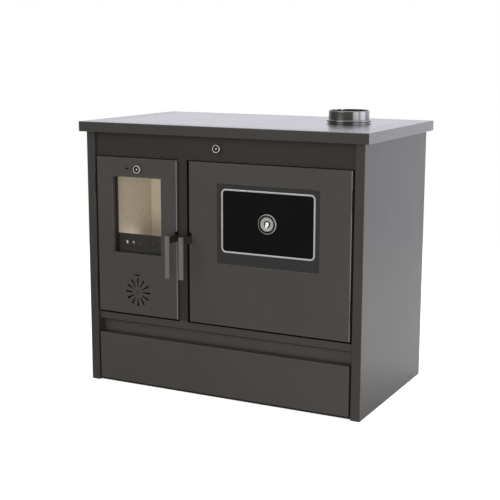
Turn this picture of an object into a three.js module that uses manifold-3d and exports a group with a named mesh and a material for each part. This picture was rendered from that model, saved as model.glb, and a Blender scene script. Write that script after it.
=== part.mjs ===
// A wood-burning cookstove with a glazed firebox door, an oven and a fuel drawer.
// Millimetres, +Z up, origin on the floor at the centre of the body, front towards -Y.
import * as THREE from 'three';
import { mergeVertices } from 'three/addons/utils/BufferGeometryUtils.js';
import Module from 'manifold-3d';

const wasm = await Module();
wasm.setup();

// ---------------------------------------------------------------- driving sizes
// Body and hob
const BODY_WIDTH = 948;
const BODY_DEPTH = 546;
const HOB_HEIGHT = 850;
const HOB_RIM_HEIGHT = 32;
const HOB_SIDE_OVERHANG = 18;
const HOB_END_OVERHANG = 17;
const HOB_RIM_WALL = 3;
const HOB_EDGE_RADIUS = 1.5;
const HOB_PLATE_THICKNESS = 8;
const HOB_SIDE_BORDER = 68;
const HOB_END_BORDER = 40;
const HOB_LEDGE_REACH = 12;
const HOB_LEDGE_ROOT = 8;
const HOB_LEDGE_THICKNESS = 4;
const HOB_SEAM_X = 72;
const HOB_CROSSBAR_WIDTH = 30;
const LIFTING_HOLE_RADIUS = 4;
const LIFTING_HOLES = [[-367, -25], [-184, 85]];

// Sheet metal of the carcass
const SHEET = 2;
const CORNER_STRIP = 30;
const CORNER_BEND_RADIUS = 2.5;
const PLINTH_HEIGHT = 10;
const PLINTH_SETBACK = 11;

// Front, from the floor up and from left to right
const DRAWER_FRONT_HEIGHT = 154;
const FINGER_RECESS_HEIGHT = 45;
const FINGER_RECESS_DEPTH = 38;
const RAIL_HEIGHT = 22;
const DOOR_GAP_BELOW = 7;
const DOOR_GAP_ABOVE = 2;
const DOOR_GAP_HINGE = 7;
const FASCIA_HEIGHT = 75;
const FRAME_RECESS = 9;
const FIREBOX_DOOR_WIDTH = 294;
const FIREBOX_LATCH_GAP = 1;
const POST_WIDTH = 31;
const OVEN_LATCH_GAP = 12;

// Doors: a pressed skin, a flat liner behind it and a rope gasket that meets a flange
const DOOR_DEPTH = 15.5;
const DOOR_EDGE_RADIUS = 2;
const LINER_SETBACK = 9;
const FLANGE_SETBACK = 17;
const GASKET_INSET = 3;
const GASKET_WIDTH = 12;
const GASKET_LATCH_ROOM = 12;

// Firebox window, measured in from each edge of the door
const FIRE_WINDOW_FROM_HINGE = 58;
const FIRE_WINDOW_FROM_LATCH = 57;
const FIRE_WINDOW_FROM_BOTTOM = 197;
const FIRE_WINDOW_FROM_TOP = 61;
const REVEAL_WALL = 3;
const REVEAL_FRONT_DEPTH = 16;
const REVEAL_DEPTH = 34;
const GLASS_THICKNESS = 4;

// Primary air rosette on the firebox door
const ROSETTE_HEIGHT_IN_DOOR = 73;
const ROSETTE_SLOTS = 12;
const ROSETTE_INNER_RADIUS = 18;
const ROSETTE_OUTER_RADIUS = 45.5;
const ROSETTE_SLOT_INNER_WIDTH = 3;
const ROSETTE_SLOT_OUTER_WIDTH = 7.5;
const ROSETTE_DISC_RADIUS = 50;
const ROSETTE_DISC_THICKNESS = 2;
const ROSETTE_TRAVEL_DEGREES = 15;
const LUG_RADIUS = 56;
const LUG_THICKNESS = 4.2;
const LUG_PROUD = 4;
const LUG_DEGREES = 4.4;
const RIVET_SHANK_RADIUS = 2.5;
const RIVET_HEAD_RADIUS = 4.5;
const RIVET_HEAD_HEIGHT = 1.6;

// Secondary air slider above the firebox window
const SLIDER_ABOVE_WINDOW = 26.5;
const SLIDER_KNOB_SHIFT = 9;
const SLIDER_PORT_OFFSET = 43;
const SLIDER_PORT_WIDTH = 13;
const SLIDER_PORT_HEIGHT = 5;
const SLIDER_TRAVEL = 9;
const SLIDER_PLATE_HEIGHT = 16;
const SLIDER_PLATE_LAP = 12;
const SLIDER_PLATE_THICKNESS = 1.5;
const SLIDER_STEM_RADIUS = 2.5;

// Turned knobs
const KNOB_RADIUS = 12;
const KNOB_HEIGHT = 12;
const KNOB_BORE_DEPTH = 8;
const KNOB_ROUNDING = 2;
const KNOB_DISH_RADIUS = 7;
const KNOB_DISH_DEPTH = 1.2;

// Oven window: its surround measured in from each edge of the door, and its trim from the surround's
const SURROUND_FROM_LATCH = 97;
const SURROUND_FROM_HINGE = 99.5;
const SURROUND_FROM_BOTTOM = 195;
const SURROUND_FROM_TOP = 62.5;
const SURROUND_THICKNESS = 3;
const TRIM_FROM_LEFT = 16.25;
const TRIM_FROM_RIGHT = 12.75;
const TRIM_FROM_BOTTOM = 35.75;
const TRIM_FROM_TOP = 13.75;
const TRIM_BAND = 5.5;
const TRIM_PROUD = 2.5;
const TRIM_RADIUS = 15;
const TRIM_LAP = 3.5;
const OVEN_GLASS_RECESS = 0.5;
const INNER_GLASS_LAP = 12;

// Thermometer in the oven window
const BEZEL_RADIUS = 30;
const BEZEL_HEIGHT = 5;
const BEZEL_WALL = 4;
const CASE_FLOOR = 1.2;
const DIAL_THICKNESS = 1;
const DIAL_RING_OUTER = 21.5;
const DIAL_RING_INNER = 18.5;
const DIAL_RING_PROUD = 1;
const HUB_RADIUS = 1.2;
const HUB_PROUD = 1.9;
const PROBE_RADIUS = 5;
const PROBE_LENGTH = 24;
const NEEDLE_LENGTH = 16;
const NEEDLE_TAIL = 7;
const NEEDLE_HALF_WIDTH = 2;
const NEEDLE_THICKNESS = 0.8;
const NEEDLE_BOSS_RADIUS = 3.6;
const NEEDLE_REST_DEGREES = 200;

// Door hinges in the gap beside each door
const HINGE_FORWARD = 1;
const KNUCKLE_LENGTH = 30;
const HINGE_END_DISTANCE = 60;
const HINGE_PIN_RADIUS = 1.6;
const HINGE_PIN_RISE = 26;

// Door handles
const HANDLE_HEIGHT_IN_DOOR = 261;
const ARM_HEIGHT = 22;
const ARM_THICKNESS = 4;
const ARM_REACH = 58;
const TAIL_LENGTH = 26;
const TAIL_HEIGHT = 12;
const HOOK_HEIGHT = 6;
const HOOK_LENGTH = 7;
const PIVOT_RADIUS = 2.2;
const PIVOT_SETBACK = 5.4;
const PIVOT_BLOCK_WIDTH = 7;
const PIVOT_BLOCK_HEIGHT = 16;
const NOTCH_HEADROOM = 10;
const NOTCH_SIDE = 2;
const LATCH_SLOT_BELOW = 24;
const LATCH_SLOT_ABOVE = 16;
const LATCH_SLOT_HINGE_SIDE = 2.5;
const LATCH_SLOT_EDGE_SIDE = 4.5;
const GRIP_WIDTH = 15;
const FIRE_GRIP_OFFSET = 4.5;
const OVEN_GRIP_OFFSET = 0;
const GRIP_DEPTH = 10;
const GRIP_LENGTH = 132;
const GRIP_ABOVE_PIVOT = 15;
const GRIP_EDGE_RADIUS = 1.5;

// Flue collar, duct and damper
const COLLAR_X = 291.5;
const COLLAR_Y = 55;
const COLLAR_RADIUS = 64;
const COLLAR_HEIGHT = 40;
const COLLAR_WALL = 4;
const COLLAR_NECK_RADIUS = 65;
const COLLAR_BEAD_RADIUS = 70.5;
const COLLAR_BEAD_BOTTOM = 4.5;
const COLLAR_BEAD_TOP = 11;
const COLLAR_BEVEL = 3;
const SPIGOT_RADIUS = 58;
const SPIGOT_DEPTH = 6;
const COLLAR_SEGMENTS = 40;
const NOTCH_WIDTH = 7;
const NOTCH_DEPTH = 5;
const NOTCH_DEGREES = [133, 154];
const DUCT_FLOOR_BELOW_LEDGE = 62;
const DUCT_MARGIN = 12;
const DUCT_OUTLET_SIZE = 100;
const DAMPER_PORT_WIDTH = 80;
const DAMPER_PORT_HEIGHT = 34;
const DAMPER_PORT_SILL = 10;
const DAMPER_LAP = 6;
const DAMPER_PLATE_THICKNESS = 3;
const DAMPER_X = -2.5;
const DAMPER_ROD_RADIUS = 4;
const DAMPER_ROD_RAISE = 40;
const DAMPER_KNOB_OFFSET = 2;

// Firebox
const SHELL_SHEET = 4;
const SHELL_LEFT_AIR_GAP = 37.7;
const SHELL_RIGHT_AIR_GAP = 9.7;
const SHELL_ABOVE_RAIL = 9;
const FIREBOX_BACK_DISTANCE = 274;
const LINING_THICKNESS = 25;
const LINING_BELOW_HOB = 55;
const RIGHT_WALL_BELOW_HOB = 100;
const GRATE_RAISE = 184;
const GRATE_THICKNESS = 9;
const GRATE_LEDGE = 15;
const GRATE_SLOTS = 9;
const GRATE_SLOT_WIDTH = 10;
const GRATE_SLOT_MARGIN = 25;
const RETAINER_HEIGHT = 64;
const RETAINER_THICKNESS = 4;
const RETAINER_SETBACK = 37;
const RETAINER_HOLES = 6;
const RETAINER_HOLE_RADIUS = 5.75;
const RETAINER_HOLE_PITCH = 24.5;
const RETAINER_HOLE_RAISE = 36;
const ASH_PAN_HEIGHT = 110;
const ASH_PAN_SHEET = 1.5;
const ASH_PAN_MARGIN = 22;
const ASH_PAN_FRONT_ROOM = 26;
const ASH_HANDLE_WIDTH = 90;
const ASH_HANDLE_BAR = 6;
const ASH_HANDLE_REACH = 16;

// Oven
const OVEN_SHEET = 2;
const OVEN_DEPTH = 470;
const RACK_LEDGE_WIDTH = 12;
const RACK_LEDGE_THICKNESS = 3;
const RACK_LEDGE_RAISE = 210;
const RACK_ROD = 5;
const RACK_BARS = 13;
const RACK_DEPTH = 400;
const RACK_FRONT_ROOM = 20;

// Fuel drawer
const DRAWER_SIDE_GAP = 6;
const DRAWER_FRONT_DEPTH = 22;
const DRAWER_BOX_INSET = 14;
const DRAWER_BOX_RAISE = 10;
const DRAWER_BOX_HEIGHT = 130;
const DRAWER_BOX_DEPTH = 450;
const RECESS_LIP_ABOVE_BOX = 2.5;
const RAIL_LEG_HEIGHT = 40;
const RAIL_SHELF_WIDTH = 64;
const RAIL_LENGTH = 480;

// Clearances
const SEAT = 0.3;
const RUNNING = 0.4;
const PLATE_GAP = 0.5;

// ---------------------------------------------------------------- places worked out
const FRONT = -BODY_DEPTH / 2;
const BACK = BODY_DEPTH / 2;
const SIDE = BODY_WIDTH / 2;
const INNER_SIDE = SIDE - SHEET - SEAT;
const INNER_BACK = BACK - SHEET - SEAT;
const STRIP_EDGE = SIDE - CORNER_STRIP;
const HOB_SIDE = SIDE + HOB_SIDE_OVERHANG;
const HOB_END = BACK + HOB_END_OVERHANG;
const HOB_OPEN_X = HOB_SIDE - HOB_SIDE_BORDER;
const HOB_OPEN_Y = HOB_END - HOB_END_BORDER;
const HOB_UNDERSIDE = HOB_HEIGHT - HOB_PLATE_THICKNESS;
const LEDGE_BOTTOM = HOB_UNDERSIDE - HOB_LEDGE_THICKNESS;
const CARCASS_TOP = HOB_UNDERSIDE - SEAT;
const FRAME_FRONT = FRONT + FRAME_RECESS;
const FRAME_BACK = FRAME_FRONT + SHEET;
const FLANGE_FRONT = FRONT + FLANGE_SETBACK;
const FLANGE_BACK = FLANGE_FRONT + SHEET;
const FLANGE_MIDDLE = (FLANGE_FRONT + FLANGE_BACK) / 2;
const RETURN_BACK = FLANGE_FRONT - SEAT;
const RECESS_BACK = FRONT + FINGER_RECESS_DEPTH;
const DRAWER_TOP = PLINTH_HEIGHT + DRAWER_FRONT_HEIGHT;
const RAIL_BOTTOM = DRAWER_TOP + FINGER_RECESS_HEIGHT;
const RAIL_TOP = RAIL_BOTTOM + RAIL_HEIGHT;
const FASCIA_BOTTOM = HOB_HEIGHT - HOB_RIM_HEIGHT - FASCIA_HEIGHT;
const FIRE_DOOR = {
  left: -STRIP_EDGE + DOOR_GAP_HINGE,
  right: -STRIP_EDGE + DOOR_GAP_HINGE + FIREBOX_DOOR_WIDTH,
  bottom: RAIL_TOP + DOOR_GAP_BELOW,
  top: FASCIA_BOTTOM - DOOR_GAP_ABOVE,
};
const POST_LEFT = FIRE_DOOR.right + FIREBOX_LATCH_GAP;
const POST_RIGHT = POST_LEFT + POST_WIDTH;
const OVEN_DOOR = {
  left: POST_RIGHT + OVEN_LATCH_GAP,
  right: STRIP_EDGE - DOOR_GAP_HINGE,
  bottom: FIRE_DOOR.bottom,
  top: FIRE_DOOR.top,
};
const SKIN_BACK = FRONT + SHEET;
const LINER_FRONT = FRONT + LINER_SETBACK;
const LINER_BACK = LINER_FRONT + SHEET;
const DOOR_BACK = FRONT + DOOR_DEPTH;
const FLANGE_SPLIT = (POST_LEFT + POST_RIGHT) / 2;
const GASKET_EDGE = GASKET_INSET + GASKET_WIDTH;

// What the gasket encloses: the mouth of the firebox and of the oven
const FIRE_MOUTH = {
  left: FIRE_DOOR.left + GASKET_EDGE,
  right: FIRE_DOOR.right - GASKET_EDGE - GASKET_LATCH_ROOM,
  bottom: FIRE_DOOR.bottom + GASKET_EDGE,
  top: FIRE_DOOR.top - GASKET_EDGE,
};
const OVEN_MOUTH = {
  left: OVEN_DOOR.left + GASKET_EDGE + GASKET_LATCH_ROOM,
  right: OVEN_DOOR.right - GASKET_EDGE,
  bottom: OVEN_DOOR.bottom + GASKET_EDGE,
  top: OVEN_DOOR.top - GASKET_EDGE,
};

const HINGE_Y = FRONT + HINGE_FORWARD;
const FIRE_HINGE_X = -STRIP_EDGE + DOOR_GAP_HINGE / 2;
const OVEN_HINGE_X = STRIP_EDGE - DOOR_GAP_HINGE / 2;
const KNUCKLE_RADIUS = DOOR_GAP_HINGE / 2 - SEAT;
const LOWER_HINGE_Z = FIRE_DOOR.bottom + HINGE_END_DISTANCE;
const UPPER_HINGE_Z = FIRE_DOOR.top - HINGE_END_DISTANCE - 2 * KNUCKLE_LENGTH;

const HANDLE_Z = FIRE_DOOR.bottom + HANDLE_HEIGHT_IN_DOOR;
const PIVOT_Y = FRONT + PIVOT_SETBACK;
const ARM_EDGE_INSET = SHEET + RUNNING;
const FIRE_HANDLE_X = FIRE_DOOR.right - ARM_EDGE_INSET - ARM_THICKNESS / 2;
const OVEN_HANDLE_X = OVEN_DOOR.left + ARM_EDGE_INSET + ARM_THICKNESS / 2;

const FIRE_WINDOW = {
  left: FIRE_DOOR.left + FIRE_WINDOW_FROM_HINGE,
  right: FIRE_DOOR.right - FIRE_WINDOW_FROM_LATCH,
  bottom: FIRE_DOOR.bottom + FIRE_WINDOW_FROM_BOTTOM,
  top: FIRE_DOOR.top - FIRE_WINDOW_FROM_TOP,
};
const AIR_X = (FIRE_DOOR.left + FIRE_DOOR.right) / 2;
const ROSETTE_Z = FIRE_DOOR.bottom + ROSETTE_HEIGHT_IN_DOOR;
const SLIDER_X = AIR_X + SLIDER_KNOB_SHIFT;
const SLIDER_Z = FIRE_WINDOW.top + SLIDER_ABOVE_WINDOW;

const SHELL_LEFT = -SIDE + SHEET + SHELL_LEFT_AIR_GAP;
const SHELL_RIGHT = FIRE_DOOR.right - SHELL_RIGHT_AIR_GAP;
const SHELL_BOTTOM = RAIL_TOP + SHELL_ABOVE_RAIL;
const SHELL_FLOOR = SHELL_BOTTOM + SHELL_SHEET;
const LINING_LEFT = SHELL_LEFT + SHELL_SHEET + SEAT;
const LINING_RIGHT = SHELL_RIGHT - SHELL_SHEET - SEAT;
const HEARTH_LEFT = LINING_LEFT + LINING_THICKNESS;
const HEARTH_RIGHT = LINING_RIGHT - LINING_THICKNESS;
const HEARTH_BACK = FRONT + FIREBOX_BACK_DISTANCE;
const LINING_BACK = HEARTH_BACK + LINING_THICKNESS;
const SHELL_BACK = LINING_BACK + SEAT + SHELL_SHEET;
const LINING_TOP = HOB_HEIGHT - LINING_BELOW_HOB;
const RIGHT_WALL_TOP = HOB_HEIGHT - RIGHT_WALL_BELOW_HOB;
const LEDGE_TOP = SHELL_FLOOR + GRATE_RAISE;
const HEARTH_Z = LEDGE_TOP + SEAT;
const RETAINER_FRONT = FRONT + RETAINER_SETBACK;
const RETAINER_BACK = RETAINER_FRONT + RETAINER_THICKNESS;
const OVEN_BACK = FLANGE_FRONT + OVEN_DEPTH;
const RACK_LEDGE_TOP = OVEN_MOUTH.bottom + RACK_LEDGE_RAISE;

const SURROUND = {
  left: OVEN_DOOR.left + SURROUND_FROM_LATCH,
  right: OVEN_DOOR.right - SURROUND_FROM_HINGE,
  bottom: OVEN_DOOR.bottom + SURROUND_FROM_BOTTOM,
  top: OVEN_DOOR.top - SURROUND_FROM_TOP,
};
const TRIM_WIDTH = SURROUND.right - SURROUND.left - TRIM_FROM_LEFT - TRIM_FROM_RIGHT;
const TRIM_HEIGHT = SURROUND.top - SURROUND.bottom - TRIM_FROM_BOTTOM - TRIM_FROM_TOP;
const OVEN_WINDOW_X = SURROUND.left + TRIM_FROM_LEFT + TRIM_WIDTH / 2;
const OVEN_WINDOW_Z = SURROUND.bottom + TRIM_FROM_BOTTOM + TRIM_HEIGHT / 2;
const OVEN_GLASS_WIDTH = TRIM_WIDTH - 2 * TRIM_LAP;
const OVEN_GLASS_HEIGHT = TRIM_HEIGHT - 2 * TRIM_LAP;
const OVEN_GLASS_FRONT = FRONT + OVEN_GLASS_RECESS;

const DUCT_TOP = LEDGE_BOTTOM - SEAT;
const DUCT_FLOOR = LEDGE_BOTTOM - DUCT_FLOOR_BELOW_LEDGE;
const DUCT_LEFT = DAMPER_X - DAMPER_PORT_WIDTH / 2 - 2 * DUCT_MARGIN;
const DUCT_RIGHT = COLLAR_X + COLLAR_RADIUS + DUCT_MARGIN;
const DUCT_FRONT = COLLAR_Y - COLLAR_RADIUS - DUCT_MARGIN;
const DUCT_BACK = COLLAR_Y + COLLAR_RADIUS + DUCT_MARGIN;
const DAMPER_Z = FASCIA_BOTTOM + DAMPER_ROD_RAISE;
const DAMPER_PORT_BOTTOM = DUCT_FLOOR + SHEET + DAMPER_PORT_SILL;
const DAMPER_KNOB_BACK = FRAME_FRONT - DAMPER_KNOB_OFFSET;

const DRAWER_SIDE = STRIP_EDGE - DRAWER_SIDE_GAP;
const DRAWER_BOX_SIDE = DRAWER_SIDE - DRAWER_BOX_INSET;
const DRAWER_BOX_BOTTOM = PLINTH_HEIGHT + DRAWER_BOX_RAISE;
const DRAWER_BOX_FRONT = FRONT + DRAWER_FRONT_DEPTH + SEAT;
const BAY_ROOF_BOTTOM = DRAWER_TOP + SHEET;
const RECESS_LIP_BOTTOM = DRAWER_BOX_BOTTOM + DRAWER_BOX_HEIGHT + RECESS_LIP_ABOVE_BOX;

// ---------------------------------------------------------------- finishes
function finish(color, roughness, metalness) {
  return new THREE.MeshStandardMaterial({ color, roughness, metalness });
}

const DOOR_PAINT = () => finish(0x46433f, 0.45, 0.2);
const CARCASS_PAINT = () => finish(0x36322e, 0.5, 0.2);
const HOB_STEEL = () => finish(0x9a9a9c, 0.3, 0.9);
const BARE_STEEL = () => finish(0x6a6a6c, 0.5, 0.8);
const POLISHED_STEEL = () => finish(0xb8b8ba, 0.2, 1.0);
const GRIP_STEEL = () => finish(0x7c7c7c, 0.4, 0.8);
const FIRE_BOARD = () => finish(0xb5a78d, 0.95, 0.0);
const CAST_IRON = () => finish(0x2e2c2a, 0.8, 0.4);
const CLEAR_GLASS = () => finish(0xcfd6d2, 0.05, 0.0);
const BLACK_GLASS = () => finish(0x0f0f11, 0.05, 0.0);
const SURROUND_ENAMEL = () => finish(0x3c4040, 0.6, 0.1);
const ROPE = () => finish(0x2a2927, 0.95, 0.0);
const DIAL_BLACK = () => finish(0x141416, 0.5, 0.2);

// ---------------------------------------------------------------- solids and shapes
function toSolid(geometry) {
  const bare = geometry.clone();
  bare.deleteAttribute('normal');
  bare.deleteAttribute('uv');
  const merged = mergeVertices(bare, 1e-4);
  return new wasm.Manifold(new wasm.Mesh({
    numProp: 3,
    vertProperties: new Float32Array(merged.attributes.position.array),
    triVerts: new Uint32Array(merged.index.array),
  }));
}

function toGeometry(solid) {
  const mesh = solid.getMesh();
  const geometry = new THREE.BufferGeometry();
  geometry.setAttribute('position', new THREE.BufferAttribute(mesh.vertProperties, 3));
  geometry.setIndex(new THREE.BufferAttribute(mesh.triVerts, 1));
  geometry.computeVertexNormals();
  return geometry;
}

function joined(solids) {
  return solids.reduce((whole, next) => whole.add(next));
}

function cutAll(solid, cutters) {
  return cutters.reduce((whole, cutter) => whole.subtract(cutter), solid);
}

// A block between two corners, whose faces lie exactly at the given places.
function block(x0, x1, y0, y1, z0, z1) {
  const geometry = new THREE.BoxGeometry(1, 1, 1);
  const corners = geometry.attributes.position;
  for (let i = 0; i < corners.count; i += 1) {
    const x = corners.getX(i) < 0 ? x0 : x1;
    const y = corners.getY(i) < 0 ? y0 : y1;
    const z = corners.getZ(i) < 0 ? z0 : z1;
    corners.setXYZ(i, x, y, z);
  }
  return toSolid(geometry);
}

// A cylinder round a line parallel to X, Y or Z, from one coordinate to another.
function rod(axis, from, to, radius, centre, sides = 24) {
  const geometry = new THREE.CylinderGeometry(radius, radius, to - from, sides);
  const middle = (from + to) / 2;
  if (axis === 'x') {
    geometry.rotateZ(Math.PI / 2);
    geometry.translate(middle, centre[0], centre[1]);
  } else if (axis === 'y') {
    geometry.translate(centre[0], middle, centre[1]);
  } else {
    geometry.rotateX(Math.PI / 2);
    geometry.translate(centre[0], centre[1], middle);
  }
  return toSolid(geometry);
}

function rectangle(x0, x1, y0, y1) {
  const shape = new THREE.Shape();
  shape.moveTo(x0, y0);
  shape.lineTo(x1, y0);
  shape.lineTo(x1, y1);
  shape.lineTo(x0, y1);
  shape.closePath();
  return shape;
}

function roundedRectangle(x0, x1, y0, y1, radius) {
  const shape = new THREE.Shape();
  shape.moveTo(x0 + radius, y0);
  shape.lineTo(x1 - radius, y0);
  shape.absarc(x1 - radius, y0 + radius, radius, -Math.PI / 2, 0, false);
  shape.lineTo(x1, y1 - radius);
  shape.absarc(x1 - radius, y1 - radius, radius, 0, Math.PI / 2, false);
  shape.lineTo(x0 + radius, y1);
  shape.absarc(x0 + radius, y1 - radius, radius, Math.PI / 2, Math.PI, false);
  shape.lineTo(x0, y0 + radius);
  shape.absarc(x0 + radius, y0 + radius, radius, Math.PI, 1.5 * Math.PI, false);
  return shape;
}

// A part of a ring about the origin, between two radii and two angles in degrees.
function ringSector(inner, outer, fromDegrees, toDegrees) {
  const from = THREE.MathUtils.degToRad(fromDegrees);
  const to = THREE.MathUtils.degToRad(toDegrees);
  const shape = new THREE.Shape();
  shape.absarc(0, 0, outer, from, to, false);
  shape.absarc(0, 0, inner, to, from, true);
  shape.closePath();
  return shape;
}

const FLAT = { bevelEnabled: false, curveSegments: 6 };

// A shape drawn in X and Z, made thick between two Y places.
function extrudeFront(shape, y0, y1, options = FLAT) {
  const geometry = new THREE.ExtrudeGeometry(shape, { ...options, depth: y1 - y0 });
  geometry.rotateX(Math.PI / 2);
  geometry.translate(0, y1, 0);
  return geometry;
}

// A shape drawn in Y and Z, made thick between two X places.
function extrudeSide(shape, x0, x1) {
  const geometry = new THREE.ExtrudeGeometry(shape, { ...FLAT, depth: x1 - x0 });
  const turn = new THREE.Matrix4().makeBasis(
    new THREE.Vector3(0, 1, 0), new THREE.Vector3(0, 0, 1), new THREE.Vector3(1, 0, 0));
  geometry.applyMatrix4(turn);
  geometry.translate(x0, 0, 0);
  return geometry;
}

// A shape drawn in X and Y, made thick between two Z places.
function extrudeUp(shape, z0, z1, options = FLAT) {
  const geometry = new THREE.ExtrudeGeometry(shape, { ...options, depth: z1 - z0 });
  geometry.translate(0, 0, z0);
  return geometry;
}

// A block whose twelve edges are rounded.
function softBlock(x0, x1, y0, y1, z0, z1, radius) {
  const shape = roundedRectangle(x0 + radius, x1 - radius, y0 + radius, y1 - radius, radius / 2);
  const edge = {
    bevelEnabled: true, bevelSize: radius, bevelThickness: radius, bevelSegments: 2, curveSegments: 2,
  };
  return toSolid(extrudeUp(shape, z0 + radius, z1 - radius, edge));
}

// A solid of revolution about Z, from radius and height pairs that run up the outside.
function turned(profile, segments = 32) {
  const points = profile.map(([radius, height]) => new THREE.Vector2(radius, height));
  const geometry = new THREE.LatheGeometry(points, segments);
  geometry.rotateX(Math.PI / 2);
  return geometry;
}

// The same about Y, with heights measured towards the front.
function turnedToFront(profile, segments = 32) {
  const geometry = turned(profile, segments);
  geometry.rotateX(Math.PI / 2);
  return geometry;
}

// ---------------------------------------------------------------- scene helpers
const stove = new THREE.Group();

function place(group, name, shape, material, position = [0, 0, 0]) {
  const geometry = shape.isBufferGeometry ? shape : toGeometry(shape);
  const mesh = new THREE.Mesh(geometry, material);
  mesh.name = name;
  mesh.position.set(...position);
  group.add(mesh);
  return mesh;
}

function section(...position) {
  const group = new THREE.Group();
  group.position.set(...position);
  stove.add(group);
  return group;
}

// ---------------------------------------------------------------- carcass
// A side panel's plan: the wall, the corner strip and the strip's inner return.
function sidePanelPlan() {
  const r = CORNER_BEND_RADIUS;
  const strip = STRIP_EDGE;
  const shape = new THREE.Shape();
  shape.moveTo(SIDE, BACK);
  shape.lineTo(SIDE - SHEET, BACK);
  shape.lineTo(SIDE - SHEET, FRONT + SHEET);
  shape.lineTo(strip + SHEET, FRONT + SHEET);
  shape.lineTo(strip + SHEET, RECESS_BACK - SEAT);
  shape.lineTo(strip, RECESS_BACK - SEAT);
  shape.lineTo(strip, FRONT + r);
  shape.absarc(strip + r, FRONT + r, r, Math.PI, 1.5 * Math.PI, false);
  shape.absarc(SIDE - r, FRONT + r, r, 1.5 * Math.PI, 2 * Math.PI, false);
  shape.closePath();
  return shape;
}

function sidePanel(mirrored) {
  const geometry = extrudeUp(sidePanelPlan(), 0, CARCASS_TOP);
  if (!mirrored) return toSolid(geometry);
  return toSolid(geometry).mirror([1, 0, 0]);
}

function basePan() {
  const front = FRONT + PLINTH_SETBACK;
  const top = PLINTH_HEIGHT - RUNNING;
  const outer = block(-INNER_SIDE, INNER_SIDE, front, INNER_BACK, 0, top);
  const hollow = block(
    -INNER_SIDE + SHEET, INNER_SIDE - SHEET, front + SHEET, INNER_BACK - SHEET, SHEET, top + 1);
  const cornerRoom = block(STRIP_EDGE - SEAT, SIDE, front - 1, RECESS_BACK, -1, top + 1);
  return cutAll(outer, [hollow, cornerRoom, cornerRoom.mirror([1, 0, 0])]);
}

function backPanel() {
  return block(-INNER_SIDE, INNER_SIDE, BACK - SHEET, BACK, 0, CARCASS_TOP);
}

// The fascia, the post between the doors and the rail below them, folded from one sheet.
function frontFrame() {
  const edge = STRIP_EDGE - SEAT;
  const fascia = block(-edge, edge, FRAME_FRONT, FRAME_BACK, FASCIA_BOTTOM, CARCASS_TOP);
  const fasciaReturn = block(
    -edge, edge, FRAME_FRONT, RETURN_BACK, FASCIA_BOTTOM, FASCIA_BOTTOM + SHEET);
  const post = block(
    POST_LEFT, POST_RIGHT, FRAME_FRONT, FRAME_BACK, RAIL_TOP - SHEET, FASCIA_BOTTOM + SHEET);
  const postReturns = [POST_LEFT, POST_RIGHT - SHEET].map((x) => block(
    x, x + SHEET, FRAME_FRONT, RETURN_BACK, RAIL_TOP - SHEET, FASCIA_BOTTOM + SHEET));
  const rail = block(-edge, edge, FRAME_FRONT, FRAME_BACK, RAIL_BOTTOM, RAIL_TOP);
  const railTop = block(-edge, edge, FRAME_FRONT, RETURN_BACK, RAIL_TOP - SHEET, RAIL_TOP);
  const railBottom = block(
    -edge, edge, FRAME_FRONT, RECESS_BACK - SEAT, RAIL_BOTTOM, RAIL_BOTTOM + SHEET);
  const whole = joined([fascia, fasciaReturn, post, ...postReturns, rail, railTop, railBottom]);
  const rodHole = rod(
    'y', FRAME_FRONT - 1, FRAME_BACK + 1, DAMPER_ROD_RADIUS + RUNNING, [DAMPER_X, DAMPER_Z]);
  return whole.subtract(rodHole);
}

// The sheet that roofs the drawer bay, with the back of the finger recess and its lip.
function drawerBayRoof() {
  const wall = block(
    -INNER_SIDE, INNER_SIDE, RECESS_BACK, RECESS_BACK + SHEET, RECESS_LIP_BOTTOM, RAIL_BOTTOM + SHEET);
  const roof = block(
    -INNER_SIDE, INNER_SIDE, RECESS_BACK, INNER_BACK, BAY_ROOF_BOTTOM, BAY_ROOF_BOTTOM + SHEET);
  return wall.add(roof);
}

function buildCarcass() {
  place(stove, 'base_pan', basePan(), CARCASS_PAINT());
  place(stove, 'left_side_panel', sidePanel(true), DOOR_PAINT());
  place(stove, 'right_side_panel', sidePanel(false), DOOR_PAINT());
  place(stove, 'back_panel', backPanel(), CARCASS_PAINT());
  place(stove, 'front_frame', frontFrame(), CARCASS_PAINT());
  place(stove, 'drawer_bay_roof', drawerBayRoof(), CARCASS_PAINT());
}

// ---------------------------------------------------------------- hob
function hobFrame() {
  const skirt = HOB_HEIGHT - HOB_RIM_HEIGHT;
  const outer = softBlock(
    -HOB_SIDE, HOB_SIDE, -HOB_END, HOB_END, skirt, HOB_HEIGHT, HOB_EDGE_RADIUS);
  const under = block(
    -HOB_SIDE + HOB_RIM_WALL, HOB_SIDE - HOB_RIM_WALL,
    -HOB_END + HOB_RIM_WALL, HOB_END - HOB_RIM_WALL, skirt - 1, HOB_UNDERSIDE);
  const opening = block(
    -HOB_OPEN_X, HOB_OPEN_X, -HOB_OPEN_Y, HOB_OPEN_Y, skirt, HOB_HEIGHT + 1);
  const rootX = HOB_OPEN_X + HOB_LEDGE_ROOT;
  const rootY = HOB_OPEN_Y + HOB_LEDGE_ROOT;
  const tipX = HOB_OPEN_X - HOB_LEDGE_REACH;
  const tipY = HOB_OPEN_Y - HOB_LEDGE_REACH;
  const ledge = block(-rootX, rootX, -rootY, rootY, LEDGE_BOTTOM, HOB_UNDERSIDE)
    .subtract(block(-tipX, tipX, -tipY, tipY, LEDGE_BOTTOM - 1, HOB_UNDERSIDE + 1));
  const crossbar = block(
    HOB_SEAM_X - HOB_CROSSBAR_WIDTH / 2, HOB_SEAM_X + HOB_CROSSBAR_WIDTH / 2,
    -HOB_OPEN_Y, HOB_OPEN_Y, LEDGE_BOTTOM, HOB_UNDERSIDE);
  return joined([cutAll(outer, [under, opening]), ledge, crossbar]);
}

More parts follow.
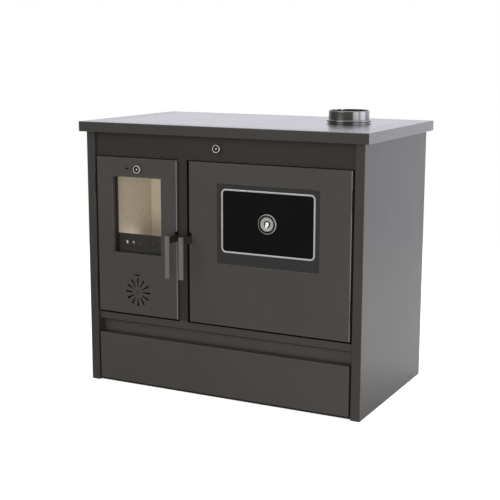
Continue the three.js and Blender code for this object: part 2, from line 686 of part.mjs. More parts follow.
// A cast plate that lies on the hob frame's ledge, level with its border.
function hobPlate(x0, x1) {
  return block(
    x0 + PLATE_GAP, x1 - PLATE_GAP, -HOB_OPEN_Y + PLATE_GAP, HOB_OPEN_Y - PLATE_GAP,
    HOB_UNDERSIDE + SEAT, HOB_HEIGHT);
}

function leftHobPlate() {
  const holes = LIFTING_HOLES.map((centre) => rod(
    'z', HOB_UNDERSIDE - 1, HOB_HEIGHT + 1, LIFTING_HOLE_RADIUS, centre, 16));
  return cutAll(hobPlate(-HOB_OPEN_X, HOB_SEAM_X), holes);
}

function rightHobPlate() {
  const flueHole = rod(
    'z', HOB_UNDERSIDE - 1, HOB_HEIGHT + 1, SPIGOT_RADIUS + SEAT, [COLLAR_X, COLLAR_Y], COLLAR_SEGMENTS);
  return hobPlate(HOB_SEAM_X, HOB_OPEN_X).subtract(flueHole);
}

// The flue collar: a spigot into the hob, a rounded bead and a pipe with a bevelled rim.
function flueCollar() {
  const bore = COLLAR_RADIUS - COLLAR_WALL;
  const spigotBore = SPIGOT_RADIUS - COLLAR_WALL;
  const rise = COLLAR_BEAD_TOP - COLLAR_BEAD_BOTTOM;
  const inset = COLLAR_BEAD_RADIUS - rise / 8;
  const ring = toSolid(turned([
    [spigotBore, -SPIGOT_DEPTH],
    [SPIGOT_RADIUS, -SPIGOT_DEPTH],
    [SPIGOT_RADIUS, SEAT],
    [COLLAR_NECK_RADIUS, SEAT],
    [COLLAR_NECK_RADIUS, COLLAR_BEAD_BOTTOM],
    [inset, COLLAR_BEAD_BOTTOM],
    [COLLAR_BEAD_RADIUS, COLLAR_BEAD_BOTTOM + rise / 4],
    [COLLAR_BEAD_RADIUS, COLLAR_BEAD_TOP - rise / 4],
    [inset, COLLAR_BEAD_TOP],
    [COLLAR_RADIUS, COLLAR_BEAD_TOP],
    [COLLAR_RADIUS, COLLAR_HEIGHT - COLLAR_BEVEL],
    [COLLAR_RADIUS - COLLAR_WALL / 2, COLLAR_HEIGHT],
    [bore, COLLAR_HEIGHT],
    [bore, COLLAR_BEAD_BOTTOM],
    [spigotBore, COLLAR_BEAD_BOTTOM],
    [spigotBore, -SPIGOT_DEPTH],
  ], COLLAR_SEGMENTS));
  const notch = new THREE.Shape();
  notch.moveTo(-NOTCH_WIDTH / 2, COLLAR_HEIGHT + 1);
  notch.lineTo(0, COLLAR_HEIGHT - NOTCH_DEPTH);
  notch.lineTo(NOTCH_WIDTH / 2, COLLAR_HEIGHT + 1);
  notch.closePath();
  const notches = NOTCH_DEGREES.map((degrees) => {
    const cutter = extrudeSide(notch, bore - COLLAR_WALL, COLLAR_RADIUS + COLLAR_WALL);
    cutter.rotateZ(THREE.MathUtils.degToRad(degrees));
    return toSolid(cutter);
  });
  return cutAll(ring, notches);
}

function buildHob() {
  place(stove, 'hob_frame', hobFrame(), HOB_STEEL());
  place(stove, 'hob_plate_left', leftHobPlate(), HOB_STEEL());
  place(stove, 'hob_plate_right', rightHobPlate(), HOB_STEEL());
  place(stove, 'flue_collar', flueCollar(), CAST_IRON(), [COLLAR_X, COLLAR_Y, HOB_HEIGHT]);
}

// ---------------------------------------------------------------- flue duct and damper
// A sheet box under the hob, open at the top, with a bypass port in front and an inlet in its floor.
function flueDuct() {
  const outer = block(DUCT_LEFT, DUCT_RIGHT, DUCT_FRONT, DUCT_BACK, DUCT_FLOOR, DUCT_TOP);
  const inside = block(
    DUCT_LEFT + SHEET, DUCT_RIGHT - SHEET, DUCT_FRONT + SHEET, DUCT_BACK - SHEET,
    DUCT_FLOOR + SHEET, DUCT_TOP + 1);
  const port = block(
    DAMPER_X - DAMPER_PORT_WIDTH / 2, DAMPER_X + DAMPER_PORT_WIDTH / 2,
    DUCT_FRONT - 1, DUCT_FRONT + SHEET + 1,
    DAMPER_PORT_BOTTOM, DAMPER_PORT_BOTTOM + DAMPER_PORT_HEIGHT);
  const half = DUCT_OUTLET_SIZE / 2;
  const inlet = block(
    COLLAR_X - half, COLLAR_X + half, COLLAR_Y - half, COLLAR_Y + half,
    DUCT_FLOOR - 1, DUCT_FLOOR + SHEET + 1);
  return cutAll(outer, [inside, port, inlet]);
}

// A plate that covers the bypass port, welded to the rod that the knob pulls.
function damperPlateAndRod() {
  const back = DUCT_FRONT - SEAT;
  const front = back - DAMPER_PLATE_THICKNESS;
  const reach = DAMPER_PORT_WIDTH / 2 + DAMPER_LAP;
  const plate = block(
    DAMPER_X - reach, DAMPER_X + reach, front, back,
    Math.min(DAMPER_PORT_BOTTOM, DAMPER_Z) - DAMPER_LAP,
    DAMPER_PORT_BOTTOM + DAMPER_PORT_HEIGHT + DAMPER_LAP);
  const tip = DAMPER_KNOB_BACK - KNOB_BORE_DEPTH + SEAT;
  const pull = rod('y', tip, back - DAMPER_PLATE_THICKNESS / 2, DAMPER_ROD_RADIUS, [DAMPER_X, DAMPER_Z], 16);
  return plate.add(pull);
}

// A turned knob with a dished face and a blind bore behind.
function knob(boreRadius) {
  return turnedToFront([
    [0, KNOB_BORE_DEPTH],
    [boreRadius, KNOB_BORE_DEPTH],
    [boreRadius, 0],
    [KNOB_RADIUS - KNOB_ROUNDING / 2, 0],
    [KNOB_RADIUS, KNOB_ROUNDING / 2],
    [KNOB_RADIUS, KNOB_HEIGHT - KNOB_ROUNDING],
    [KNOB_RADIUS - KNOB_ROUNDING, KNOB_HEIGHT],
    [KNOB_DISH_RADIUS, KNOB_HEIGHT],
    [KNOB_DISH_RADIUS - KNOB_ROUNDING, KNOB_HEIGHT - KNOB_DISH_DEPTH],
    [0, KNOB_HEIGHT - KNOB_DISH_DEPTH],
  ], 20);
}

function buildFlue() {
  place(stove, 'flue_duct', flueDuct(), BARE_STEEL());
  place(stove, 'damper_plate_and_rod', damperPlateAndRod(), BARE_STEEL());
  place(stove, 'damper_knob', knob(DAMPER_ROD_RADIUS + SEAT), POLISHED_STEEL(),
    [DAMPER_X, DAMPER_KNOB_BACK, DAMPER_Z]);
}

// ---------------------------------------------------------------- firebox
// The flange that a door's gasket meets, with the mouth and the latch slot cut out.
function mouthFlange(x0, x1, mouth, handleX, edgeSide) {
  const plate = block(x0, x1, FLANGE_FRONT, FLANGE_BACK, RAIL_TOP - SHEET, FASCIA_BOTTOM + SHEET);
  const opening = block(
    mouth.left, mouth.right, FLANGE_FRONT - 1, FLANGE_BACK + 1, mouth.bottom, mouth.top);
  const near = handleX + edgeSide * (ARM_THICKNESS / 2 + LATCH_SLOT_EDGE_SIDE);
  const far = handleX - edgeSide * (ARM_THICKNESS / 2 + LATCH_SLOT_HINGE_SIDE);
  const slot = block(
    Math.min(near, far), Math.max(near, far), FLANGE_FRONT - 1, FLANGE_BACK + 1,
    HANDLE_Z - LATCH_SLOT_BELOW, HANDLE_Z + LATCH_SLOT_ABOVE);
  return cutAll(plate, [opening, slot]);
}

// The firebox walls, floor and back, with the flange in front and the ledge that carries the grate.
function fireboxShell() {
  const flange = mouthFlange(
    -STRIP_EDGE + SEAT, FLANGE_SPLIT - SEAT / 2, FIRE_MOUTH, FIRE_HANDLE_X, 1);
  const left = block(
    SHELL_LEFT, SHELL_LEFT + SHELL_SHEET, FLANGE_MIDDLE, SHELL_BACK, SHELL_BOTTOM, LINING_TOP);
  const right = block(
    SHELL_RIGHT - SHELL_SHEET, SHELL_RIGHT, FLANGE_MIDDLE, SHELL_BACK, SHELL_BOTTOM, RIGHT_WALL_TOP);
  const back = block(
    SHELL_LEFT, SHELL_RIGHT, SHELL_BACK - SHELL_SHEET, SHELL_BACK, SHELL_BOTTOM, LINING_TOP);
  const floor = block(
    SHELL_LEFT, SHELL_RIGHT, FLANGE_MIDDLE, SHELL_BACK, SHELL_BOTTOM, SHELL_FLOOR);
  const ledge = block(
    SHELL_LEFT, SHELL_RIGHT, RETAINER_FRONT, SHELL_BACK, LEDGE_TOP - SHELL_SHEET, LEDGE_TOP)
    .subtract(block(
      HEARTH_LEFT + GRATE_LEDGE, HEARTH_RIGHT - GRATE_LEDGE,
      RETAINER_BACK + GRATE_LEDGE, HEARTH_BACK - GRATE_LEDGE,
      LEDGE_TOP - SHELL_SHEET - 1, LEDGE_TOP + 1));
  return joined([flange, left, right, back, floor, ledge]);
}

function fireGrate() {
  const x0 = HEARTH_LEFT + SEAT;
  const x1 = HEARTH_RIGHT - SEAT;
  const y0 = RETAINER_BACK + SEAT;
  const y1 = HEARTH_BACK - SEAT;
  const plate = block(x0, x1, y0, y1, HEARTH_Z, HEARTH_Z + GRATE_THICKNESS);
  const span = x1 - x0 - 2 * GRATE_SLOT_MARGIN;
  const slots = Array.from({ length: GRATE_SLOTS }, (_, i) => {
    const x = x0 + GRATE_SLOT_MARGIN + (span * i) / (GRATE_SLOTS - 1);
    return block(
      x - GRATE_SLOT_WIDTH / 2, x + GRATE_SLOT_WIDTH / 2,
      y0 + GRATE_SLOT_MARGIN, y1 - GRATE_SLOT_MARGIN, HEARTH_Z - 1, HEARTH_Z + GRATE_THICKNESS + 1);
  });
  return cutAll(plate, slots);
}

// The upright plate that keeps logs off the glass, with a row of air holes.
function logRetainer() {
  const plate = block(
    HEARTH_LEFT + SEAT, HEARTH_RIGHT - SEAT, RETAINER_FRONT, RETAINER_BACK,
    HEARTH_Z, HEARTH_Z + RETAINER_HEIGHT);
  const middle = (FIRE_WINDOW.left + FIRE_WINDOW.right) / 2;
  const holes = Array.from({ length: RETAINER_HOLES }, (_, i) => rod(
    'y', RETAINER_FRONT - 1, RETAINER_BACK + 1, RETAINER_HOLE_RADIUS,
    [middle + (i - (RETAINER_HOLES - 1) / 2) * RETAINER_HOLE_PITCH, HEARTH_Z + RETAINER_HOLE_RAISE], 14));
  return cutAll(plate, holes);
}

// An open tray with a bail handle on its front wall.
function ashPan() {
  const x0 = SHELL_LEFT + SHELL_SHEET + ASH_PAN_MARGIN;
  const x1 = SHELL_RIGHT - SHELL_SHEET - ASH_PAN_MARGIN;
  const y0 = FLANGE_BACK + ASH_PAN_FRONT_ROOM;
  const y1 = HEARTH_BACK;
  const z0 = SHELL_FLOOR + SEAT;
  const t = ASH_PAN_SHEET;
  const tray = block(x0, x1, y0, y1, z0, z0 + ASH_PAN_HEIGHT)
    .subtract(block(x0 + t, x1 - t, y0 + t, y1 - t, z0 + t, z0 + ASH_PAN_HEIGHT + 1));
  const middle = (x0 + x1) / 2;
  const half = ASH_HANDLE_WIDTH / 2;
  const barZ = z0 + ASH_PAN_HEIGHT / 2;
  const loop = block(
    middle - half, middle + half, y0 - ASH_HANDLE_REACH, y0 + t, barZ, barZ + ASH_HANDLE_BAR)
    .subtract(block(
      middle - half + ASH_HANDLE_BAR, middle + half - ASH_HANDLE_BAR,
      y0 - ASH_HANDLE_REACH + ASH_HANDLE_BAR, y0, barZ - 1, barZ + ASH_HANDLE_BAR + 1));
  return tray.add(loop);
}

function buildFirebox() {
  place(stove, 'firebox_shell', fireboxShell(), BARE_STEEL());
  place(stove, 'firebox_lining_left', block(
    LINING_LEFT, HEARTH_LEFT, RETAINER_FRONT, HEARTH_BACK - SEAT, HEARTH_Z, LINING_TOP), FIRE_BOARD());
  place(stove, 'firebox_lining_right', block(
    HEARTH_RIGHT, LINING_RIGHT, RETAINER_FRONT, HEARTH_BACK - SEAT, HEARTH_Z, RIGHT_WALL_TOP), FIRE_BOARD());
  place(stove, 'firebox_lining_back', block(
    LINING_LEFT, LINING_RIGHT, HEARTH_BACK, LINING_BACK, HEARTH_Z, LINING_TOP), FIRE_BOARD());
  place(stove, 'fire_grate', fireGrate(), CAST_IRON());
  place(stove, 'log_retainer', logRetainer(), CAST_IRON());
  place(stove, 'ash_pan', ashPan(), BARE_STEEL());
}

// ---------------------------------------------------------------- oven
// The oven's walls and back, with the flange in front and a rack ledge on each side.
function ovenBox() {
  const flange = mouthFlange(
    FLANGE_SPLIT + SEAT / 2, STRIP_EDGE - SEAT, OVEN_MOUTH, OVEN_HANDLE_X, -1);
  const t = OVEN_SHEET;
  const mouth = OVEN_MOUTH;
  const outer = block(
    mouth.left - t, mouth.right + t, FLANGE_MIDDLE, OVEN_BACK, mouth.bottom - t, mouth.top + t);
  const inside = block(
    mouth.left, mouth.right, FLANGE_FRONT - 1, OVEN_BACK - t, mouth.bottom, mouth.top);
  const ledgeBottom = RACK_LEDGE_TOP - RACK_LEDGE_THICKNESS;
  const ledgeSpans = [
    [mouth.left - t / 2, mouth.left + RACK_LEDGE_WIDTH],
    [mouth.right - RACK_LEDGE_WIDTH, mouth.right + t / 2],
  ];
  const ledges = ledgeSpans.map(([x0, x1]) => block(
    x0, x1, FLANGE_BACK, OVEN_BACK - t / 2, ledgeBottom, RACK_LEDGE_TOP));
  return joined([flange, outer.subtract(inside), ...ledges]);
}

// A grid of square rods that lies on the ledges.
function ovenRack() {
  const x0 = OVEN_MOUTH.left + RUNNING;
  const x1 = OVEN_MOUTH.right - RUNNING;
  const y0 = FLANGE_FRONT + RACK_FRONT_ROOM;
  const y1 = y0 + RACK_DEPTH;
  const z0 = RACK_LEDGE_TOP + SEAT;
  const z1 = z0 + RACK_ROD;
  const pitch = (x1 - x0 - RACK_ROD) / (RACK_BARS + 1);
  const gaps = Array.from({ length: RACK_BARS + 1 }, (_, i) => {
    const x = x0 + RACK_ROD + pitch * i;
    return block(x, x + pitch - RACK_ROD, y0 + RACK_ROD, y1 - RACK_ROD, z0 - 1, z1 + 1);
  });
  return cutAll(block(x0, x1, y0, y1, z0, z1), gaps);
}

function buildOven() {
  place(stove, 'oven_box', ovenBox(), BARE_STEEL());
  place(stove, 'oven_rack', ovenRack(), POLISHED_STEEL());
}

// ---------------------------------------------------------------- parts that both doors share
// A pressed pan, open at the back, with rounded front edges.
function doorPan(door) {
  const r = DOOR_EDGE_RADIUS;
  const edge = { bevelEnabled: true, bevelSize: r, bevelThickness: r, bevelSegments: 3, curveSegments: 3 };
  const face = rectangle(door.left + r, door.right - r, door.bottom + r, door.top - r);
  const outer = toSolid(extrudeFront(face, FRONT + r, FRONT + DOOR_DEPTH + r, edge))
    .intersect(block(door.left, door.right, FRONT, DOOR_BACK, door.bottom, door.top));
  return outer.subtract(block(
    door.left + SHEET, door.right - SHEET, SKIN_BACK, DOOR_BACK + 1, door.bottom + SHEET, door.top - SHEET));
}

// The notch in a door's latch edge that the handle's arm moves in.
function handleNotch(handleX, edgeSide) {
  const inner = handleX - edgeSide * (ARM_THICKNESS / 2 + NOTCH_SIDE);
  const outer = handleX + edgeSide * (ARM_THICKNESS / 2 + ARM_EDGE_INSET + 1);
  return block(
    Math.min(inner, outer), Math.max(inner, outer), FRONT - 1, DOOR_BACK + 1,
    HANDLE_Z - ARM_HEIGHT / 2 - RUNNING, HANDLE_Z + ARM_HEIGHT / 2 + NOTCH_HEADROOM);
}

// The flat plate inside a door pan, cleared round the handle's tail.
function doorLiner(door, handleX, edgeSide) {
  const fit = SHEET + SEAT;
  const plate = block(
    door.left + fit, door.right - fit, LINER_FRONT, LINER_BACK, door.bottom + fit, door.top - fit);
  const inner = handleX - edgeSide * (ARM_THICKNESS / 2 + NOTCH_SIDE);
  const outer = handleX + edgeSide * (ARM_THICKNESS / 2 + ARM_EDGE_INSET + 1);
  return plate.subtract(block(
    Math.min(inner, outer), Math.max(inner, outer), LINER_FRONT - 1, LINER_BACK + 1,
    HANDLE_Z - LATCH_SLOT_BELOW, HANDLE_Z + LATCH_SLOT_ABOVE));
}

// A rope ring on the back of the liner, just outside the mouth.
function doorGasket(mouth) {
  const w = GASKET_WIDTH;
  const ring = rectangle(mouth.left - w, mouth.right + w, mouth.bottom - w, mouth.top + w);
  ring.holes.push(rectangle(mouth.left, mouth.right, mouth.bottom, mouth.top));
  return extrudeFront(ring, LINER_BACK + SEAT, FLANGE_FRONT - SEAT);
}

// The fixed half of a hinge: the lower knuckle with the pin that stands up from it.
function hingeFixedHalf() {
  const knuckle = rod('z', 0, KNUCKLE_LENGTH, KNUCKLE_RADIUS, [0, 0], 16);
  const pin = rod('z', KNUCKLE_LENGTH / 2, KNUCKLE_LENGTH + HINGE_PIN_RISE, HINGE_PIN_RADIUS, [0, 0], 16);
  return knuckle.add(pin);
}

// The moving half: the upper knuckle, bored for the pin.
function hingeMovingHalf() {
  const base = KNUCKLE_LENGTH + SEAT;
  const knuckle = rod('z', base, base + KNUCKLE_LENGTH, KNUCKLE_RADIUS, [0, 0], 16);
  return knuckle.subtract(rod(
    'z', base - 1, base + HINGE_PIN_RISE + RUNNING, HINGE_PIN_RADIUS + SEAT, [0, 0], 16));
}

function buildHinges(doorName, hingeX) {
  for (const [level, z] of [['lower', LOWER_HINGE_Z], ['upper', UPPER_HINGE_Z]]) {
    const group = section(hingeX, HINGE_Y, z);
    place(group, `${doorName}_${level}_hinge_pin`, hingeFixedHalf(), CARCASS_PAINT());
    place(group, `${doorName}_${level}_hinge_knuckle`, hingeMovingHalf(), CARCASS_PAINT());
  }
}

// The side view of a handle plate about its pivot: arm forward, tail and hook behind.
function handleProfile() {
  const half = ARM_HEIGHT / 2;
  const tail = TAIL_HEIGHT / 2;
  const shape = new THREE.Shape();
  shape.moveTo(-ARM_REACH, -half);
  shape.lineTo(0, -half);
  shape.absarc(0, 0, half, -Math.PI / 2, -Math.asin(tail / half), false);
  shape.lineTo(TAIL_LENGTH, -tail);
  shape.lineTo(TAIL_LENGTH, tail + HOOK_HEIGHT);
  shape.lineTo(TAIL_LENGTH - HOOK_LENGTH, tail + HOOK_HEIGHT);
  shape.lineTo(TAIL_LENGTH - HOOK_LENGTH, tail);
  shape.absarc(0, 0, half, Math.asin(tail / half), Math.PI / 2, false);
  shape.lineTo(-ARM_REACH, half);
  shape.closePath();
  return shape;
}

function handleArm() {
  const plate = toSolid(extrudeSide(handleProfile(), -ARM_THICKNESS / 2, ARM_THICKNESS / 2));
  const bore = rod('x', -ARM_THICKNESS, ARM_THICKNESS, PIVOT_RADIUS + SEAT, [0, 0], 16);
  return plate.subtract(bore);
}

// The block inside the door that holds the pivot pin.
function handlePivot(edgeSide) {
  const inner = ARM_THICKNESS / 2 + SEAT;
  const outer = inner + PIVOT_BLOCK_WIDTH;
  const y0 = SKIN_BACK + SEAT - PIVOT_Y;
  const y1 = LINER_FRONT - SEAT - PIVOT_Y;
  const body = block(
    Math.min(-edgeSide * inner, -edgeSide * outer), Math.max(-edgeSide * inner, -edgeSide * outer),
    y0, y1, -PIVOT_BLOCK_HEIGHT / 2, PIVOT_BLOCK_HEIGHT / 2);
  const tip = edgeSide * (ARM_THICKNESS / 2);
  const root = -edgeSide * (inner + 1);
  const pin = rod('x', Math.min(tip, root), Math.max(tip, root), PIVOT_RADIUS, [0, 0], 16);
  return body.add(pin);
}

function handleGrip(offset) {
  const y1 = -ARM_REACH - SEAT;
  return softBlock(
    offset - GRIP_WIDTH / 2, offset + GRIP_WIDTH / 2, y1 - GRIP_DEPTH, y1,
    GRIP_ABOVE_PIVOT - GRIP_LENGTH, GRIP_ABOVE_PIVOT, GRIP_EDGE_RADIUS);
}

function buildHandle(doorName, handleX, edgeSide, gripOffset) {
  const group = section(handleX, PIVOT_Y, HANDLE_Z);
  place(group, `${doorName}_handle_pivot`, handlePivot(edgeSide), BARE_STEEL());
  place(group, `${doorName}_handle_arm`, handleArm(), CARCASS_PAINT());
  place(group, `${doorName}_handle_grip`, handleGrip(gripOffset), GRIP_STEEL());
}

// ---------------------------------------------------------------- firebox door
// The ring of wedge slots, widening outwards.
function rosetteSlots(y0, y1) {
  const wedge = new THREE.Shape();
  wedge.moveTo(-ROSETTE_SLOT_INNER_WIDTH / 2, ROSETTE_INNER_RADIUS);
  wedge.lineTo(ROSETTE_SLOT_INNER_WIDTH / 2, ROSETTE_INNER_RADIUS);
  wedge.lineTo(ROSETTE_SLOT_OUTER_WIDTH / 2, ROSETTE_OUTER_RADIUS);
  wedge.lineTo(-ROSETTE_SLOT_OUTER_WIDTH / 2, ROSETTE_OUTER_RADIUS);
  wedge.closePath();
  return Array.from({ length: ROSETTE_SLOTS }, (_, i) => {
    const cutter = extrudeFront(wedge, y0, y1);
    cutter.rotateY((2 * Math.PI * i) / ROSETTE_SLOTS);
    return toSolid(cutter);
  });
}

function fireDoorSkin() {
  const through = [FRONT - 1, SKIN_BACK + 1];
  const w = FIRE_WINDOW;
  const window = block(w.left, w.right, ...through, w.bottom, w.top);
  const slots = rosetteSlots(...through).map((slot) => slot.translate([AIR_X, 0, ROSETTE_Z]));
  const reach = (ROSETTE_TRAVEL_DEGREES + LUG_DEGREES) / 2 + 0.5;
  const half = LUG_THICKNESS / 2 + RUNNING;
  const lugSlot = toSolid(extrudeFront(
    ringSector(LUG_RADIUS - half, LUG_RADIUS + half, 90 - reach, 90 + reach), ...through))
    .translate([AIR_X, 0, ROSETTE_Z]);
  const rivetHole = rod('y', ...through, RIVET_SHANK_RADIUS + SEAT, [AIR_X, ROSETTE_Z], 16);
  const portX = SLIDER_X - SLIDER_PORT_OFFSET;
  const port = block(
    portX - SLIDER_PORT_WIDTH / 2, portX + SLIDER_PORT_WIDTH / 2, ...through,
    SLIDER_Z - SLIDER_PORT_HEIGHT / 2, SLIDER_Z + SLIDER_PORT_HEIGHT / 2);
  const stemRoom = SLIDER_STEM_RADIUS + RUNNING;
  const stemSlot = block(
    SLIDER_X - SLIDER_TRAVEL - stemRoom, SLIDER_X + stemRoom, ...through,
    SLIDER_Z - stemRoom, SLIDER_Z + stemRoom);
  return cutAll(doorPan(FIRE_DOOR), [
    window, ...slots, lugSlot, rivetHole, port, stemSlot, handleNotch(FIRE_HANDLE_X, 1)]);
}

// A straight-sided ring round the window opening, between two depths.
function revealRing(y0, y1) {
  const w = FIRE_WINDOW;
  const t = REVEAL_WALL;
  const ring = rectangle(w.left - t, w.right + t, w.bottom - t, w.top + t);
  ring.holes.push(rectangle(w.left, w.right, w.bottom, w.top));
  return extrudeFront(ring, y0, y1);
}

function fireDoorLiner() {
  const w = FIRE_WINDOW;
  const room = REVEAL_WALL + SEAT;
  const window = block(
    w.left - room, w.right + room, LINER_FRONT - 1, LINER_BACK + 1, w.bottom - room, w.top + room);
  const airHole = rod(
    'y', LINER_FRONT - 1, LINER_BACK + 1, ROSETTE_OUTER_RADIUS, [AIR_X, ROSETTE_Z], 24);
  return cutAll(doorLiner(FIRE_DOOR, FIRE_HANDLE_X, 1), [window, airHole]);
}

// The rotating disc behind the slots, about its rivet, with the lug that turns it.
function airDisc() {
  const y0 = SKIN_BACK + SEAT;
  const y1 = y0 + ROSETTE_DISC_THICKNESS;
  const disc = rod('y', y0, y1, ROSETTE_DISC_RADIUS, [0, 0], 36);
  const middle = 90 + ROSETTE_TRAVEL_DEGREES / 2;
  const from = middle - LUG_DEGREES / 2;
  const to = middle + LUG_DEGREES / 2;
  const rim = LUG_RADIUS + LUG_THICKNESS / 2;
  const tab = toSolid(extrudeFront(ringSector(ROSETTE_DISC_RADIUS - 3, rim, from, to), y0, y1));
  const lug = toSolid(extrudeFront(
    ringSector(LUG_RADIUS - LUG_THICKNESS / 2, rim, from, to), FRONT - LUG_PROUD, y1));
  const bore = rod('y', y0 - 1, y1 + 1, RIVET_SHANK_RADIUS + SEAT, [0, 0], 16);
  return cutAll(joined([disc, tab, lug]), [...rosetteSlots(y0 - 1, y1 + 1), bore]);
}

function airRivet() {
  const head = -FRONT + SEAT;
  const tail = -(SKIN_BACK + ROSETTE_DISC_THICKNESS + 2 * SEAT);
  return turnedToFront([
    [0, tail - RIVET_HEAD_HEIGHT],
    [RIVET_HEAD_RADIUS, tail - RIVET_HEAD_HEIGHT],
    [RIVET_HEAD_RADIUS, tail],
    [RIVET_SHANK_RADIUS, tail],
    [RIVET_SHANK_RADIUS, head],
    [RIVET_HEAD_RADIUS, head],
    [RIVET_HEAD_RADIUS * 0.6, head + RIVET_HEAD_HEIGHT],
    [0, head + RIVET_HEAD_HEIGHT],
  ], 16);
}

// The sliding plate with its port and the stem that the knob sits on, about the stem.
function airSlider() {
  const y0 = SKIN_BACK + SEAT;
  const y1 = y0 + SLIDER_PLATE_THICKNESS;
  const half = SLIDER_PORT_WIDTH / 2;
  const plate = block(
    -SLIDER_PORT_OFFSET - half - SLIDER_PLATE_LAP, SLIDER_PLATE_LAP, y0, y1,
    -SLIDER_PLATE_HEIGHT / 2, SLIDER_PLATE_HEIGHT / 2);
  const port = block(
    -SLIDER_PORT_OFFSET - half, -SLIDER_PORT_OFFSET + half, y0 - 1, y1 + 1,
    -SLIDER_PORT_HEIGHT / 2, SLIDER_PORT_HEIGHT / 2);
  const tip = FRONT - RUNNING - KNOB_BORE_DEPTH + SEAT;
  const stem = rod('y', tip, y0 + SLIDER_PLATE_THICKNESS / 2, SLIDER_STEM_RADIUS, [0, 0], 16);
  return plate.subtract(port).add(stem);
}

function buildFireDoor() {
  const air = section(AIR_X, 0, ROSETTE_Z);
  const slider = section(SLIDER_X, 0, SLIDER_Z);
  const glassFront = FRONT + REVEAL_FRONT_DEPTH;
  const glassBack = glassFront + GLASS_THICKNESS;
  const w = FIRE_WINDOW;
  const t = REVEAL_WALL;
  place(stove, 'firebox_door_skin', fireDoorSkin(), DOOR_PAINT());
  place(stove, 'firebox_window_reveal', revealRing(SKIN_BACK + SEAT, glassFront - SEAT), DOOR_PAINT());
  place(stove, 'firebox_window_glass', block(
    w.left - t, w.right + t, glassFront, glassBack, w.bottom - t, w.top + t), CLEAR_GLASS());
  place(stove, 'firebox_glass_retainer', revealRing(glassBack + SEAT, FRONT + REVEAL_DEPTH), CARCASS_PAINT());
  place(stove, 'firebox_door_liner', fireDoorLiner(), BARE_STEEL());
  place(stove, 'firebox_door_gasket', doorGasket(FIRE_MOUTH), ROPE());
  place(air, 'primary_air_disc', airDisc(), CARCASS_PAINT());
  place(air, 'primary_air_rivet', airRivet(), BARE_STEEL());
  place(slider, 'secondary_air_slider', airSlider(), BARE_STEEL());
  place(slider, 'secondary_air_knob', knob(SLIDER_STEM_RADIUS + SEAT), POLISHED_STEEL(),
    [0, FRONT - RUNNING, 0]);
  buildHinges('firebox_door', FIRE_HINGE_X);
  buildHandle('firebox_door', FIRE_HANDLE_X, 1, FIRE_GRIP_OFFSET);
}

// ---------------------------------------------------------------- oven door
// A rounded rectangle about the middle of the oven window.
function windowShape(width, height, radius) {
  return roundedRectangle(
    OVEN_WINDOW_X - width / 2, OVEN_WINDOW_X + width / 2,
    OVEN_WINDOW_Z - height / 2, OVEN_WINDOW_Z + height / 2, radius);
}

function ovenDoorSkin() {
  const s = SURROUND;
  const opening = block(
    s.left - SEAT, s.right + SEAT, FRONT - 1, SKIN_BACK + 1, s.bottom - SEAT, s.top + SEAT);
  return cutAll(doorPan(OVEN_DOOR), [opening, handleNotch(OVEN_HANDLE_X, -1)]);
}

// The matt plate set flush in the door round the glass.
function ovenWindowSurround() {
  const s = SURROUND;
  const plate = toSolid(extrudeFront(
    rectangle(s.left, s.right, s.bottom, s.top), FRONT, FRONT + SURROUND_THICKNESS));
  const radius = TRIM_RADIUS - TRIM_LAP + SEAT;
  const opening = toSolid(extrudeFront(
    windowShape(OVEN_GLASS_WIDTH + 2 * SEAT, OVEN_GLASS_HEIGHT + 2 * SEAT, radius),
    FRONT - 1, FRONT + SURROUND_THICKNESS + 1));
  return plate.subtract(opening);
}

function ovenGlass() {
  const pane = toSolid(extrudeFront(
    windowShape(OVEN_GLASS_WIDTH, OVEN_GLASS_HEIGHT, TRIM_RADIUS - TRIM_LAP),
    OVEN_GLASS_FRONT, OVEN_GLASS_FRONT + GLASS_THICKNESS));
  const probeHole = rod(
    'y', OVEN_GLASS_FRONT - 1, OVEN_GLASS_FRONT + GLASS_THICKNESS + 1, PROBE_RADIUS + SEAT,
    [OVEN_WINDOW_X, OVEN_WINDOW_Z], 20);
  return pane.subtract(probeHole);
}

// The polished band that covers the joint between the glass and its surround.
function ovenTrim() {
  const half = TRIM_PROUD / 2;
  const outer = windowShape(TRIM_WIDTH - TRIM_PROUD, TRIM_HEIGHT - TRIM_PROUD, TRIM_RADIUS - half);
  outer.holes.push(windowShape(
    TRIM_WIDTH - 2 * TRIM_BAND + TRIM_PROUD, TRIM_HEIGHT - 2 * TRIM_BAND + TRIM_PROUD,
    TRIM_RADIUS - TRIM_BAND + half));
  const y1 = FRONT - SEAT;
  const edge = {
    bevelEnabled: true, bevelSize: half, bevelThickness: half, bevelSegments: 1, curveSegments: 4,
  };
  return toSolid(extrudeFront(outer, y1 - half, y1 - half + 0.01, edge))
    .intersect(block(
      SURROUND.left, SURROUND.right, y1 - 2 * TRIM_PROUD, y1, SURROUND.bottom, SURROUND.top));
}

function ovenDoorLiner() {
  const half = [OVEN_GLASS_WIDTH / 2, OVEN_GLASS_HEIGHT / 2];
  const window = block(
    OVEN_WINDOW_X - half[0], OVEN_WINDOW_X + half[0], LINER_FRONT - 1, LINER_BACK + 1,
    OVEN_WINDOW_Z - half[1], OVEN_WINDOW_Z + half[1]);
  return doorLiner(OVEN_DOOR, OVEN_HANDLE_X, -1).subtract(window);
}

function ovenInnerGlass() {
  const pane = toSolid(extrudeFront(
    windowShape(
      OVEN_GLASS_WIDTH + 2 * INNER_GLASS_LAP, OVEN_GLASS_HEIGHT + 2 * INNER_GLASS_LAP, TRIM_RADIUS),
    LINER_BACK + SEAT, LINER_BACK + SEAT + GLASS_THICKNESS));
  return pane.subtract(rod(
    'y', LINER_BACK, LINER_BACK + GLASS_THICKNESS + 1, PROBE_RADIUS + SEAT,
    [OVEN_WINDOW_X, OVEN_WINDOW_Z], 20));
}

